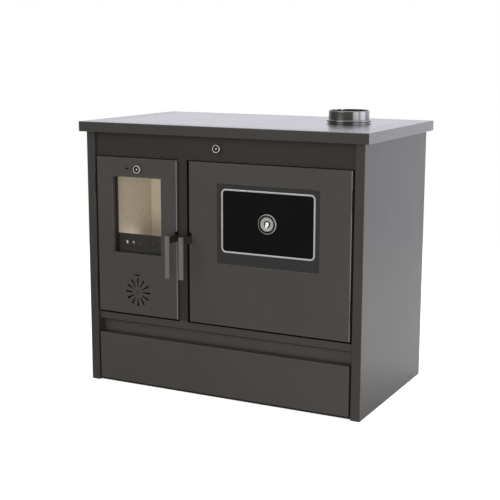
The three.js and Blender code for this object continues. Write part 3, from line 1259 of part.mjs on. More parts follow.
// The thermometer's cup with its bezel, and the probe that runs into the oven.
function thermometerCase() {
  return turnedToFront([
    [0, -PROBE_LENGTH],
    [PROBE_RADIUS, -PROBE_LENGTH],
    [PROBE_RADIUS, 0],
    [BEZEL_RADIUS, 0],
    [BEZEL_RADIUS, BEZEL_HEIGHT - 1],
    [BEZEL_RADIUS - 1, BEZEL_HEIGHT],
    [BEZEL_RADIUS - BEZEL_WALL + 1, BEZEL_HEIGHT],
    [BEZEL_RADIUS - BEZEL_WALL, BEZEL_HEIGHT - 1],
    [BEZEL_RADIUS - BEZEL_WALL, CASE_FLOOR],
    [0, CASE_FLOOR],
  ], 36);
}

// The dial with its raised ring and the hub that the needle turns on.
function thermometerDial() {
  const base = CASE_FLOOR + SEAT;
  const face = base + DIAL_THICKNESS;
  return turnedToFront([
    [0, base],
    [BEZEL_RADIUS - BEZEL_WALL - SEAT, base],
    [BEZEL_RADIUS - BEZEL_WALL - SEAT, face],
    [DIAL_RING_OUTER, face],
    [DIAL_RING_OUTER, face + DIAL_RING_PROUD],
    [DIAL_RING_INNER, face + DIAL_RING_PROUD],
    [DIAL_RING_INNER, face],
    [HUB_RADIUS, face],
    [HUB_RADIUS, face + HUB_PROUD],
    [0, face + HUB_PROUD],
  ], 28);
}

function thermometerNeedle() {
  const face = CASE_FLOOR + SEAT + DIAL_THICKNESS;
  const y1 = -face - SEAT;
  const y0 = y1 - NEEDLE_THICKNESS;
  const pointer = new THREE.Shape();
  pointer.moveTo(-NEEDLE_HALF_WIDTH, 0);
  pointer.lineTo(-NEEDLE_HALF_WIDTH / 2, -NEEDLE_TAIL);
  pointer.lineTo(NEEDLE_HALF_WIDTH / 2, -NEEDLE_TAIL);
  pointer.lineTo(NEEDLE_HALF_WIDTH, 0);
  pointer.lineTo(NEEDLE_HALF_WIDTH / 4, NEEDLE_LENGTH);
  pointer.lineTo(-NEEDLE_HALF_WIDTH / 4, NEEDLE_LENGTH);
  pointer.closePath();
  const boss = rod('y', y0, y1, NEEDLE_BOSS_RADIUS, [0, 0], 20);
  const bore = rod('y', y0 - 1, y1 + 1, HUB_RADIUS + SEAT, [0, 0], 12);
  return toSolid(extrudeFront(pointer, y0, y1)).add(boss).subtract(bore);
}

function buildThermometer() {
  const group = section(OVEN_WINDOW_X, OVEN_GLASS_FRONT - SEAT, OVEN_WINDOW_Z);
  place(group, 'thermometer_case', thermometerCase(), POLISHED_STEEL());
  place(group, 'thermometer_dial', thermometerDial(), DIAL_BLACK());
  const needle = place(group, 'thermometer_needle', thermometerNeedle(), POLISHED_STEEL());
  needle.rotation.y = THREE.MathUtils.degToRad(NEEDLE_REST_DEGREES);
}

function buildOvenDoor() {
  place(stove, 'oven_door_skin', ovenDoorSkin(), DOOR_PAINT());
  place(stove, 'oven_window_surround', ovenWindowSurround(), SURROUND_ENAMEL());
  place(stove, 'oven_window_glass', ovenGlass(), BLACK_GLASS());
  place(stove, 'oven_window_trim', ovenTrim(), POLISHED_STEEL());
  place(stove, 'oven_door_liner', ovenDoorLiner(), BARE_STEEL());
  place(stove, 'oven_inner_glass', ovenInnerGlass(), BLACK_GLASS());
  place(stove, 'oven_door_gasket', doorGasket(OVEN_MOUTH), ROPE());
  buildThermometer();
  buildHinges('oven_door', OVEN_HINGE_X);
  buildHandle('oven_door', OVEN_HANDLE_X, -1, OVEN_GRIP_OFFSET);
}

// ---------------------------------------------------------------- fuel drawer
function drawerFront() {
  const r = DOOR_EDGE_RADIUS;
  const y1 = FRONT + DRAWER_FRONT_DEPTH;
  const edge = { bevelEnabled: true, bevelSize: r, bevelThickness: r, bevelSegments: 3, curveSegments: 3 };
  const face = rectangle(-DRAWER_SIDE + r, DRAWER_SIDE - r, PLINTH_HEIGHT + r, DRAWER_TOP - r);
  const outer = toSolid(extrudeFront(face, FRONT + r, y1 + r, edge))
    .intersect(block(-DRAWER_SIDE, DRAWER_SIDE, FRONT, y1, PLINTH_HEIGHT, DRAWER_TOP));
  return outer.subtract(block(
    -DRAWER_SIDE + SHEET, DRAWER_SIDE - SHEET, SKIN_BACK, y1 + 1,
    PLINTH_HEIGHT + SHEET, DRAWER_TOP - SHEET));
}

function drawerBox() {
  const x = DRAWER_BOX_SIDE;
  const y0 = DRAWER_BOX_FRONT;
  const y1 = y0 + DRAWER_BOX_DEPTH;
  const z0 = DRAWER_BOX_BOTTOM;
  const z1 = z0 + DRAWER_BOX_HEIGHT;
  return block(-x, x, y0, y1, z0, z1).subtract(block(
    -x + SHEET, x - SHEET, y0 + SHEET, y1 - SHEET, z0 + SHEET, z1 + 1));
}

// An angle on the side panel that the drawer's edge slides on.
function drawerRail() {
  const top = DRAWER_BOX_BOTTOM - SEAT;
  const y0 = RECESS_BACK;
  const leg = block(
    INNER_SIDE - SHEET, INNER_SIDE, y0, y0 + RAIL_LENGTH, top - SHEET, top - SHEET + RAIL_LEG_HEIGHT);
  const shelf = block(
    INNER_SIDE - RAIL_SHELF_WIDTH, INNER_SIDE, y0, y0 + RAIL_LENGTH, top - SHEET, top);
  return leg.add(shelf);
}

function buildDrawer() {
  place(stove, 'drawer_front', drawerFront(), DOOR_PAINT());
  place(stove, 'drawer_box', drawerBox(), BARE_STEEL());
  place(stove, 'drawer_rail_left', drawerRail().mirror([1, 0, 0]), BARE_STEEL());
  place(stove, 'drawer_rail_right', drawerRail(), BARE_STEEL());
}

buildCarcass();
buildHob();
buildFlue();
buildFirebox();
buildOven();
buildFireDoor();
buildOvenDoor();
buildDrawer();

export default stove;
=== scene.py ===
"""A wood-burning cookstove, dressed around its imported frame.

The frame gives every place, in metres: +X towards the oven side, +Y to the back, +Z up.
Folded, cast and flat pieces keep the frame's shapes and get rounded edges. Turned, woven
and drawn pieces are new surfaces, worked out from the frame's own boxes.
"""
import logging
import math
from collections.abc import Sequence
from dataclasses import dataclass, field
from enum import Enum, auto
from typing import Any

import bmesh
import bpy
import numpy as np
from mathutils import Matrix, Vector


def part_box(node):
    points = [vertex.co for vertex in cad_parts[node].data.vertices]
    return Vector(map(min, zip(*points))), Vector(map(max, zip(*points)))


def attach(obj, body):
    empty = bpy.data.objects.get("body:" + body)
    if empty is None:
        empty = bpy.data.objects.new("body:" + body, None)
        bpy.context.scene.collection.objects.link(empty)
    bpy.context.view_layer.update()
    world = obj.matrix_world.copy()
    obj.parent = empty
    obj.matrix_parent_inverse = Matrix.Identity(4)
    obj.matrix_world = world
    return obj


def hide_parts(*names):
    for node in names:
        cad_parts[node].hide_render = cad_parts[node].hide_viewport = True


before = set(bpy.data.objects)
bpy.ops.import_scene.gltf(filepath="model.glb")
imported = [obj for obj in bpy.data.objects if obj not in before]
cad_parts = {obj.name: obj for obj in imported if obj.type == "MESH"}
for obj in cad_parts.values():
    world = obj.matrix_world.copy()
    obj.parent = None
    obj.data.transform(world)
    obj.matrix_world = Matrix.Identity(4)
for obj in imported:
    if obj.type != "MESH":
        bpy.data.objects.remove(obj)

LOG = logging.getLogger("cookstove")
MM = 0.001
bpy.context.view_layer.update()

# Points closer than this are one point, in a new surface and in a frame node.
SURFACE_MERGE = 0.001 * MM
NODE_MERGE = 0.002 * MM
# Faces that turn by less are one flat face, and edges that turn by more are rounded.
FLAT_DEGREES = 0.4
EDGE_DEGREES = 32
EDGE_STEPS = 2
CORNER_STEPS = 12
# The chamfer along a door's edge, painted pale as a highlight, and how far inside it the centre of one of its
# faces lies.
FOLD = 2 * MM
FOLD_MARGIN = 0.1 * MM

Colour = tuple[float, float, float]
Point = tuple[float, float, float]
Pair = tuple[float, float]
Rectangle = tuple[float, float, float, float]
Surface = tuple[np.ndarray, np.ndarray]
Piece = bpy.types.Object
Node = bpy.types.Node
Socket = bpy.types.NodeSocket


# ------------------------------------------------------------------ surfaces
class Axis(Enum):
    """The way in which a turned piece's heights grow: +Z or -Y."""

    UP = auto()
    FRONT = auto()


def grid_faces(rows: int, columns: int, wrap_rows: bool = False, wrap_columns: bool = False) -> np.ndarray:
    """Quads between the points of a grid that is stored row by row.

    Args:
        rows: points down the grid.
        columns: points across the grid.
        wrap_rows: join the last row to the first.
        wrap_columns: join the last column to the first.

    Returns:
        An array of four point numbers for each face.
    """
    row = np.arange(rows if wrap_rows else rows - 1)
    column = np.arange(columns if wrap_columns else columns - 1)
    i, j = np.meshgrid(row, column, indexing="ij")
    below, beside = (i + 1) % rows, (j + 1) % columns
    corners = (i * columns + j, i * columns + beside, below * columns + beside, below * columns + j)
    return np.stack(corners, axis=-1).reshape(-1, 4)


def stacked(parts: Sequence[Surface]) -> Surface:
    """Several surfaces as one, each part's faces moved up to its own points.

    Args:
        parts: the points and faces of each.

    Returns:
        Points and faces of all of them.
    """
    starts = np.cumsum([0] + [len(points) for points, _ in parts])
    points = np.concatenate([points for points, _ in parts])
    faces = np.concatenate([faces + start for (_, faces), start in zip(parts, starts)])
    return points, faces


def shaded(name: str, mesh: bpy.types.Mesh, sharp_degrees: float) -> Piece:
    """Links a mesh as a smooth object.

    Args:
        name: the piece's name.
        mesh: its mesh.
        sharp_degrees: edges that turn by more than this stay crisp.

    Returns:
        The new object, at the origin.
    """
    mesh.validate()
    mesh.shade_smooth()
    mesh.set_sharp_from_angle(angle=math.radians(sharp_degrees))
    piece = bpy.data.objects.new(name, mesh)
    bpy.context.scene.collection.objects.link(piece)
    return piece


def mesh_object(name: str, surface: Surface, sharp_degrees: float = 30) -> Piece:
    """Makes a linked object from a surface, with doubles merged and faces turned outwards.

    Args:
        name: the piece's name.
        surface: its points, in metres, and its faces.
        sharp_degrees: edges that turn by more than this stay crisp.

    Returns:
        The new object, at the origin.
    """
    points, faces = surface
    mesh = bpy.data.meshes.new(name)
    mesh.from_pydata(points.tolist(), [], faces.tolist())
    build = bmesh.new()
    build.from_mesh(mesh)
    bmesh.ops.remove_doubles(build, verts=build.verts, dist=SURFACE_MERGE)
    bmesh.ops.dissolve_degenerate(build, edges=build.edges, dist=SURFACE_MERGE / 10)
    bmesh.ops.recalc_face_normals(build, faces=build.faces)
    build.to_mesh(mesh)
    build.free()
    return shaded(name, mesh, sharp_degrees)


def round_steps(sides: int) -> np.ndarray:
    """Angles at even steps round a full turn."""
    return np.linspace(0, 2 * np.pi, sides, endpoint=False)


def turned(profile: Sequence[Pair], centre: Point, axis: Axis, sides: int) -> Surface:
    """A surface of revolution: at turn u, a profile point (r, h) lies r out from the axis and h along it.

    Args:
        profile: radius and height pairs, from the axis back to the axis or closed on itself.
        centre: where height 0 lies.
        axis: the way in which heights grow.
        sides: steps round the turn.

    Returns:
        Points and faces.
    """
    radius, height = np.array(profile, float).T
    turn = round_steps(sides)
    first = np.outer(radius, np.cos(turn))
    second = np.outer(radius, np.sin(turn))
    along = np.repeat(height[:, None], sides, axis=1)
    parts = (first, second, along) if axis is Axis.UP else (first, -along, second)
    points = np.stack(parts, axis=-1).reshape(-1, 3) + np.array(centre)
    return points, grid_faces(len(profile), sides, wrap_columns=True)


def arc(centre: Pair, radius: float, start: float, end: float, steps: int) -> list[Pair]:
    """Points on an arc in a profile, from one angle in degrees to another."""
    angle = np.radians(np.linspace(start, end, steps + 1))
    return list(zip(centre[0] + radius * np.cos(angle), centre[1] + radius * np.sin(angle)))


def rounded_loop(box: Rectangle, inset: float, radius: float, step: float) -> np.ndarray:
    """A closed path inside a rectangle with arcs at its corners, at even steps along its length.

    Args:
        box: the rectangle's left, right, bottom and top.
        inset: how far inside it the path runs.
        radius: the corner arcs' radius.
        step: the distance between points, to the nearest whole number of them.

    Returns:
        One row of two places for each point.
    """
    left, right, bottom, top = box[0] + inset, box[1] - inset, box[2] + inset, box[3] - inset
    corners = [((right - radius, bottom + radius), -90), ((right - radius, top - radius), 0),
               ((left + radius, top - radius), 90), ((left + radius, bottom + radius), 180)]
    arcs = [arc(centre, radius, start, start + 90, CORNER_STEPS) for centre, start in corners]
    path = np.concatenate(arcs)
    closed = np.vstack([path, path[:1]])
    travelled = np.concatenate([[0], np.cumsum(np.linalg.norm(np.diff(closed, axis=0), axis=1))])
    count = round(travelled[-1] / step)
    places = np.linspace(0, travelled[-1], count, endpoint=False)
    return np.stack([np.interp(places, travelled, closed[:, i]) for i in range(2)], axis=1)


def carried(section: np.ndarray, loop: np.ndarray, depth: float) -> Surface:
    """A profile carried round a closed path in X and Z.

    A profile point (a, b) lies a out along the path's normal and b to the front.

    Args:
        section: profile points for each place on the path (places, points, 2), or one profile for all.
        loop: the path's X and Z.
        depth: the path's Y.

    Returns:
        Points and faces.
    """
    ahead = np.roll(loop, -1, axis=0) - np.roll(loop, 1, axis=0)
    ahead /= np.linalg.norm(ahead, axis=1, keepdims=True)
    outwards = np.stack([ahead[:, 1], -ahead[:, 0]], axis=1)
    section = np.broadcast_to(section, (len(loop),) + section.shape[-2:])
    flat = loop[:, None, :] + outwards[:, None, :] * section[:, :, :1]
    y = depth - section[:, :, 1]
    points = np.stack([flat[:, :, 0], y, flat[:, :, 1]], axis=-1)
    return points.reshape(-1, 3), grid_faces(len(loop), section.shape[1], wrap_rows=True, wrap_columns=True)


def straight_rods(starts: np.ndarray, ends: np.ndarray, radius: float, sides: int) -> Surface:
    """Round bars between pairs of points, each a circle carried along a line that swells at both noses.

    Args:
        starts: where each bar begins. No bar may be upright.
        ends: where each bar ends.
        radius: the bars' radius.
        sides: steps round each bar.

    Returns:
        Points and faces of all the bars.
    """
    turn = round_steps(sides)
    nose = np.array([0, 0.1, 0.6]) * radius
    swell = np.array([0, 0.75, 1, 1, 0.75, 0]) * radius
    bars = []
    for start, end in zip(starts, ends):
        line = (end - start) / np.linalg.norm(end - start)
        side = np.cross(line, (0, 0, 1))
        side /= np.linalg.norm(side)
        ring = np.outer(np.cos(turn), side) + np.outer(np.sin(turn), np.cross(line, side))
        spots = np.concatenate([start + np.outer(nose, line), end - np.outer(nose[::-1], line)])
        points = spots[:, None, :] + ring[None, :, :] * swell[:, None, None]
        bars.append((points.reshape(-1, 3), grid_faces(len(spots), sides, wrap_columns=True)))
    return stacked(bars)


def refined(node: str, edge: float) -> Piece:
    """A merged copy of a frame node whose edges are rounded.

    Args:
        node: the node's name.
        edge: how wide the rounding is, in metres.

    Returns:
        The new object, named after the node, at the origin.
    """
    name = node + "_edged"
    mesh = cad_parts[node].data.copy()
    mesh.name = name
    build = bmesh.new()
    build.from_mesh(mesh)
    bmesh.ops.remove_doubles(build, verts=build.verts, dist=NODE_MERGE)
    flat = math.radians(FLAT_DEGREES)
    bmesh.ops.dissolve_limit(build, angle_limit=flat, verts=build.verts, edges=build.edges)
    build.to_mesh(mesh)
    build.free()
    piece = shaded(name, mesh, EDGE_DEGREES)
    bevel = piece.modifiers.new("rounded_edges", "BEVEL")
    bevel.width = edge
    bevel.segments = EDGE_STEPS
    bevel.limit_method = "ANGLE"
    bevel.angle_limit = math.radians(EDGE_DEGREES)
    normals = piece.modifiers.new("flat_faces", "WEIGHTED_NORMAL")
    normals.keep_sharp = True
    normals.weight = 100
    return piece


def back_centre(node: str) -> Point:
    """The middle of a node's back, where a piece that is turned to the front begins."""
    low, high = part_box(node)
    return (low.x + high.x) / 2, high.y, (low.z + high.z) / 2


# ------------------------------------------------------------------ shader graphs
class Graph:
    """A node tree with a short way to add a node and feed its sockets."""

    def __init__(self, tree: bpy.types.NodeTree) -> None:
        """Keeps the tree that nodes are added to."""
        self.tree = tree

    def feed(self, node: Node, feeds: dict[Any, Any]) -> Node:
        """Feeds a node's inputs.

        Args:
            node: the node.
            feeds: input name or number to a value or to the socket that feeds it.

        Returns:
            The same node.
        """
        for key, value in feeds.items():
            if isinstance(value, Socket):
                self.tree.links.new(value, node.inputs[key])
            else:
                node.inputs[key].default_value = value
        return node

    def add(self, kind: str, feeds: dict[Any, Any] | None = None, **settings: Any) -> Node:
        """Adds a node, sets its options and then feeds its inputs.

        Args:
            kind: the node's type, without its ShaderNode prefix.
            feeds: input name or number to a value or to the socket that feeds it.
            settings: options of the node itself.

        Returns:
            The node.
        """
        node = self.tree.nodes.new("ShaderNode" + kind)
        for option, value in settings.items():
            setattr(node, option, value)
        return self.feed(node, feeds or {})

    def place(self) -> Socket:
        """The place on the object, in metres."""
        return self.add("TexCoord").outputs["Object"]

    def noise(self, vector: Socket, scale: Any, detail: float, rough: float = 0.5) -> Socket:
        """A noise value at a vector."""
        feeds = {"Vector": vector, "Scale": scale, "Detail": detail, "Roughness": rough}
        return self.add("TexNoise", feeds).outputs[0]

    def span(self, value: Socket, low: float, high: float, new_low: Any = 0.0, new_high: Any = 1.0) -> Socket:
        """A value carried from one range to another, held at its ends."""
        return self.add("MapRange", {0: value, 1: low, 2: high, 3: new_low, 4: new_high}).outputs[0]

    def math(self, operation: str, a: Any, b: Any, clamp: bool = False) -> Socket:
        """One sum on two values."""
        return self.add("Math", {0: a, 1: b}, operation=operation, use_clamp=clamp).outputs[0]

    def blend(self, share: Any, a: Any, b: Any) -> Socket:
        """One colour turning into another."""
        return self.add("Mix", {0: share, 6: a, 7: b}, data_type="RGBA").outputs[2]

    def bump(self, height: Socket, distance: float) -> Socket:
        """A normal that follows a height which is so many metres deep."""
        return self.add("Bump", {"Height": height, "Distance": distance}).outputs[0]


class Effect:
    """A shader effect that several finishes share: a node group that is built once."""

    name: str
    inputs: dict[str, Any]
    outputs: dict[str, str]

    def fill(self, graph: Graph, given: Any) -> dict[str, Socket]:
        """Adds the effect's own nodes.

        Args:
            graph: the group's graph.
            given: the group's inputs, by name.

        Returns:
            What feeds each of the group's outputs.
        """
        raise NotImplementedError

    def tree(self) -> bpy.types.NodeTree:
        """The node group, made the first time it is asked for.

        Returns:
            The group.
        """
        found = bpy.data.node_groups.get(self.name)
        if found:
            return found
        made = bpy.data.node_groups.new(self.name, "ShaderNodeTree")
        for label, value in self.inputs.items():
            kind = "Float" if isinstance(value, float) else "Color" if len(value) == 4 else "Vector"
            socket = made.interface.new_socket(label, in_out="INPUT", socket_type="NodeSocket" + kind)
            socket.default_value = value
        for label, kind in self.outputs.items():
            made.interface.new_socket(label, in_out="OUTPUT", socket_type="NodeSocket" + kind)
        graph = Graph(made)
        given = made.nodes.new("NodeGroupInput").outputs
        graph.feed(made.nodes.new("NodeGroupOutput"), self.fill(graph, given))
        return made

    def placed(self, graph: Graph, feeds: dict[str, Any]) -> Any:
        """Places the group in a material's graph and hands out its outputs, by name."""
        return graph.add("Group", feeds, node_tree=self.tree()).outputs


class SprayedCoat(Effect):
    """Spray paint: cloudy colour, a slightly uneven gloss and the fine peel of its skin."""

    name = "sprayed_coat"
    inputs = {"Colour": (0.05, 0.05, 0.05, 1.0), "Cloud Colour": (0.04, 0.04, 0.04, 1.0), "Cloud Scale": 4.0,
              "Roughness": 0.4, "Gloss Swing": 0.1, "Peel Scale": 700.0}
    outputs = {"Colour": "Color", "Roughness": "Float", "Height": "Float"}

    def fill(self, graph: Graph, given: Any) -> dict[str, Socket]:
        """Broad noise mixes two colours, finer noise sways the gloss and the finest is the peel.

        Args:
            graph: the group's graph.
            given: the group's inputs, by name.

        Returns:
            The colour, the roughness and the height.
        """
        place = graph.place()
        cloud = graph.noise(place, given["Cloud Scale"], detail=3.0)
        handled = graph.noise(place, scale=9.0, detail=5.0, rough=0.62)
        swing = graph.math("MULTIPLY", graph.math("SUBTRACT", handled, 0.5), given["Gloss Swing"])
        return {"Colour": graph.blend(graph.span(cloud, 0.35, 0.65), given["Colour"], given["Cloud Colour"]),
                "Roughness": graph.math("ADD", given["Roughness"], swing),
                "Height": graph.noise(place, given["Peel Scale"], detail=2.0)}


class RubbedEdgesAndHighlight(Effect):
    """A mask of outer edges that hands and pans have rubbed, broken up by noise; the paler edges it gives are
    also a painted highlight.
    """

    name = "rubbed_edges_and_highlight"
    inputs = {"Reach": 0.001, "Amount": 0.5}
    outputs = {"Mask": "Float"}

    def fill(self, graph: Graph, given: Any) -> dict[str, Socket]:
        """The mask grows where the normal turns away from the one averaged over the reach.

        Args:
            graph: the group's graph.
            given: the group's inputs, by name.

        Returns:
            The mask.
        """
        flat = graph.add("NewGeometry").outputs["Normal"]
        soft = graph.add("Bevel", {"Radius": given["Reach"]}, samples=4).outputs[0]
        alike = graph.add("VectorMath", {0: flat, 1: soft}, operation="DOT_PRODUCT").outputs["Value"]
        edge = graph.span(graph.math("SUBTRACT", 1.0, alike), 0.02, 0.25)
        patch = graph.noise(graph.place(), scale=60.0, detail=4.0, rough=0.6)
        broken = graph.math("MULTIPLY", edge, graph.span(patch, 0.38, 0.62, 0.35, 1.0))
        return {"Mask": graph.math("MULTIPLY", broken, given["Amount"], clamp=True)}


class DrawnGrain(Effect):
    """Fine parallel lines left by a belt, wheel or roller."""

    name = "drawn_grain"
    inputs = {"Lines Per Metre": (20.0, 20.0, 900.0)}
    outputs = {"Tone": "Float", "Height": "Float"}

    def fill(self, graph: Graph, given: Any) -> dict[str, Socket]:
        """Noise that is stretched by a different number along each axis.

        Args:
            graph: the group's graph.
            given: the group's inputs, by name.

        Returns:
            The tone and the height.
        """
        feeds = {0: graph.place(), 1: given["Lines Per Metre"]}
        stretched = graph.add("VectorMath", feeds, operation="MULTIPLY").outputs[0]
        lines = graph.noise(stretched, scale=1.0, detail=4.0, rough=0.65)
        return {"Tone": graph.span(lines, 0.3, 0.7), "Height": lines}


class CastSkin(Effect):
    """The pitted skin of a sand casting, of pressed board or of yarn."""

    name = "cast_skin"
    inputs = {"Grains Per Metre": 400.0}
    outputs = {"Tone": "Float", "Height": "Float"}

    def fill(self, graph: Graph, given: Any) -> dict[str, Socket]:
        """Cells of uneven tone, whose height has finer noise added to it.

        Args:
            graph: the group's graph.
            given: the group's inputs, by name.

        Returns:
            The tone and the height.
        """
        place = graph.place()
        cells = graph.add("TexVoronoi", {"Vector": place, "Scale": given["Grains Per Metre"]})
        tone = graph.add("SeparateColor", {0: cells.outputs["Color"]}).outputs[0]
        fine = graph.noise(place, graph.math("MULTIPLY", given["Grains Per Metre"], 2.3), detail=3.0)
        height = graph.math("ADD", graph.math("MULTIPLY", tone, 0.5), graph.math("MULTIPLY", fine, 0.8))
        return {"Tone": tone, "Height": height}


# ------------------------------------------------------------------ finishes
def full(colour: Colour) -> tuple[float, float, float, float]:
    """A colour with alpha 1."""
    return (*colour, 1.0)


def lighter(colour: Colour, gain: float) -> Colour:
    """A colour made lighter, up to white."""
    return tuple(min(1.0, gain * part) for part in colour)


def worn_and_highlighted(graph: Graph, colour: Socket, bare: Colour, reach: float, amount: float) -> Socket:
    """A colour that turns into a paler one along rubbed edges, as wear and as a painted highlight.

    Args:
        graph: the material's graph.
        colour: the colour away from edges.
        bare: the colour on rubbed edges, which is also their painted highlight.
        reach: how far from an edge the rubbing goes, in metres.
        amount: how strong it is, and 0 for a finish without any.

    Returns:
        The colour with rubbed edges that carry a painted highlight.
    """
    if amount == 0:
        return colour
    edges = RubbedEdgesAndHighlight().placed(graph, {"Reach": reach, "Amount": amount})
    return graph.blend(edges["Mask"], colour, full(bare))


class Finish:
    """What every finish does: make its material once, and give it to a piece."""

    name: str

    def paint(self, graph: Graph, shader: Node) -> None:
        """Adds the finish's own nodes in front of the shader."""
        raise NotImplementedError

    def material(self) -> bpy.types.Material:
        """The finish's material, made the first time it is asked for.

        Returns:
            The material.
        """
        label = "finish_" + self.name
        found = bpy.data.materials.get(label)
        if found:
            return found
        made = bpy.data.materials.new(label)
        made.use_nodes = True
        self.paint(Graph(made.node_tree), made.node_tree.nodes["Principled BSDF"])
        return made

    def dress(self, piece: Piece) -> None:
        """Gives the material to a piece, in place of what it has."""
        piece.data.materials.clear()
        piece.data.materials.append(self.material())


@dataclass(frozen=True)
class PaintedLightFade:
    """A band of painted light or shade: the colour that a paint turns into between two heights."""

    colour: Colour
    start: float
    end: float


@dataclass(frozen=True)
class SprayPaint(Finish):
    """Heat-proof spray paint on sheet metal."""

    name: str
    colour: Colour
    cloud: Colour
    roughness: float
    specular: float
    # Rubbed edges: paler paint for wear, which also stands in for the highlight that rounded edges catch.
    rub_and_highlight: float = 0.25
    reach: float = 1.2 * MM
    rubbed: Colour = (0.12, 0.115, 0.11)
    gloss_swing: float = 0.1
    peel: float = 0.04 * MM
    painted_light_fade: PaintedLightFade | None = None

    def paint(self, graph: Graph, shader: Node) -> None:
        """Cloudy paint with a fine peel, paler on rubbed edges, where the paleness is also a painted
        highlight.

        Args:
            graph: the material's graph.
            shader: its shader.
        """
        coat = SprayedCoat().placed(graph, {"Colour": full(self.colour), "Cloud Colour": full(self.cloud),
                                            "Roughness": self.roughness, "Gloss Swing": self.gloss_swing})
        coated = coat["Colour"]
        # A band of painted light or shade between two heights.
        if self.painted_light_fade:
            height = graph.add("SeparateXYZ", {0: graph.place()}).outputs["Z"]
            share = graph.span(height, self.painted_light_fade.start, self.painted_light_fade.end)
            coated = graph.blend(share, coated, full(self.painted_light_fade.colour))
        graph.feed(shader, {
            "Base Color": worn_and_highlighted(graph, coated, self.rubbed, self.reach, self.rub_and_highlight),
            "Roughness": coat["Roughness"],
            "Specular IOR Level": self.specular,
            "Normal": graph.bump(coat["Height"], self.peel),
        })


@dataclass(frozen=True)
class DrawnMetal(Finish):
    """Rolled, brushed or polished bare metal."""

    name: str
    colour: Colour
    dull: Colour
    roughness: float
    roughness_swing: float
    lines: Point
    depth: float
    metallic: float = 1.0
    # Rubbed edges: paler metal for wear, which also stands in for the highlight that rounded edges catch.
    rub_and_highlight: float = 0.0
    reach: float = 0.8 * MM
    rub_and_highlight_gain: float = 1.6

    def paint(self, graph: Graph, shader: Node) -> None:
        """Metal whose colour, gloss and height follow its grain.

        Args:
            graph: the material's graph.
            shader: its shader.
        """
        grain = DrawnGrain().placed(graph, {"Lines Per Metre": self.lines})
        toned = graph.blend(grain["Tone"], full(self.dull), full(self.colour))
        low, high = self.roughness - self.roughness_swing, self.roughness + self.roughness_swing
        graph.feed(shader, {
            "Base Color": worn_and_highlighted(graph, toned, lighter(self.colour, self.rub_and_highlight_gain), self.reach, self.rub_and_highlight),
            "Roughness": graph.span(grain["Tone"], 0.0, 1.0, high, low),
            "Metallic": self.metallic,
            "Normal": graph.bump(grain["Height"], self.depth),
        })


@dataclass(frozen=True)
class GrainySkin(Finish):
    """Sand-cast iron, speckled enamel or pressed board: a surface made of grains."""

    name: str
    colour: Colour
    grain: Colour
    roughness: float
    grains_per_metre: float
    depth: float
    metallic: float = 0.0
    specular: float = 0.5
    roughness_swing: float = 0.05

    def paint(self, graph: Graph, shader: Node) -> None:
        """Grains of two tones with their own height.

        Args:
            graph: the material's graph.
            shader: its shader.
        """
        skin = CastSkin().placed(graph, {"Grains Per Metre": self.grains_per_metre})
        low, high = self.roughness - self.roughness_swing, self.roughness + self.roughness_swing
        toned = graph.blend(graph.span(skin["Tone"], 0.35, 1.0), full(self.colour), full(self.grain))
        graph.feed(shader, {
            "Base Color": toned,
            "Roughness": graph.span(skin["Tone"], 0.0, 1.0, low, high),
            "Metallic": self.metallic,
            "Specular IOR Level": self.specular,
            "Normal": graph.bump(skin["Height"], self.depth),
        })


@dataclass(frozen=True)
class DarkGlass(Finish):
    """Black-tinted glass that only shows its polish."""

    name: str
    colour: Colour
    specular: float
    wiped_gain: float = 1.5
    gloss: Pair = (0.03, 0.1)

    def paint(self, graph: Graph, shader: Node) -> None:
        """Black with faint wiping marks in its colour and gloss.

        Args:
            graph: the material's graph.
            shader: its shader.
        """
        wiped = graph.noise(graph.place(), scale=7.0, detail=6.0, rough=0.7)
        marks = full(lighter(self.colour, self.wiped_gain))
        graph.feed(shader, {
            "Base Color": graph.blend(graph.span(wiped, 0.3, 0.7), full(self.colour), marks),
            "Roughness": graph.span(wiped, 0.35, 0.75, *self.gloss),
            "Specular IOR Level": self.specular,
        })


@dataclass(frozen=True)
class ClearGlass(Finish):
    """Clear heat-proof glass that lets light from the lamps through."""

    name: str
    tint: Colour
    film: float = 0.06
    ior: float = 1.45
    specular: float = 0.2

    def paint(self, graph: Graph, shader: Node) -> None:
        """Plain glass with a faint film, and open to light from the lamps.

        Args:
            graph: the material's graph.
            shader: its shader.
        """
        film = graph.noise(graph.place(), scale=6.0, detail=5.0, rough=0.7)
        graph.feed(shader, {
            "Base Color": full(self.tint),
            "Roughness": graph.span(film, 0.45, 0.8, 0.0, self.film),
            "Transmission Weight": 1.0,
            "IOR": self.ior,
            "Specular IOR Level": self.specular,
        })
        shadow = graph.add("LightPath").outputs["Is Shadow Ray"]
        clear = graph.add("BsdfTransparent", {"Color": full(self.tint)})
        mixed = graph.add("MixShader", {0: shadow, 1: shader.outputs[0], 2: clear.outputs[0]})
        graph.feed(graph.tree.nodes["Material Output"], {"Surface": mixed.outputs[0]})


@dataclass(frozen=True)
class RopeYarn(Finish):
    """Knitted glass rope, dark and dull."""

    name: str
    colour: Colour
    light: Colour
    loops_per_metre: float = 900.0
    roughness: float = 0.92
    sheen: float = 0.25
    depth: float = 0.2 * MM

    def paint(self, graph: Graph, shader: Node) -> None:
        """Yarn of two tones with a soft sheen.

        Args:
            graph: the material's graph.
            shader: its shader.
        """
        skin = CastSkin().placed(graph, {"Grains Per Metre": self.loops_per_metre})
        graph.feed(shader, {
            "Base Color": graph.blend(skin["Tone"], full(self.colour), full(self.light)),
            "Roughness": self.roughness,
            "Sheen Weight": self.sheen,
            "Normal": graph.bump(skin["Height"], self.depth),
        })


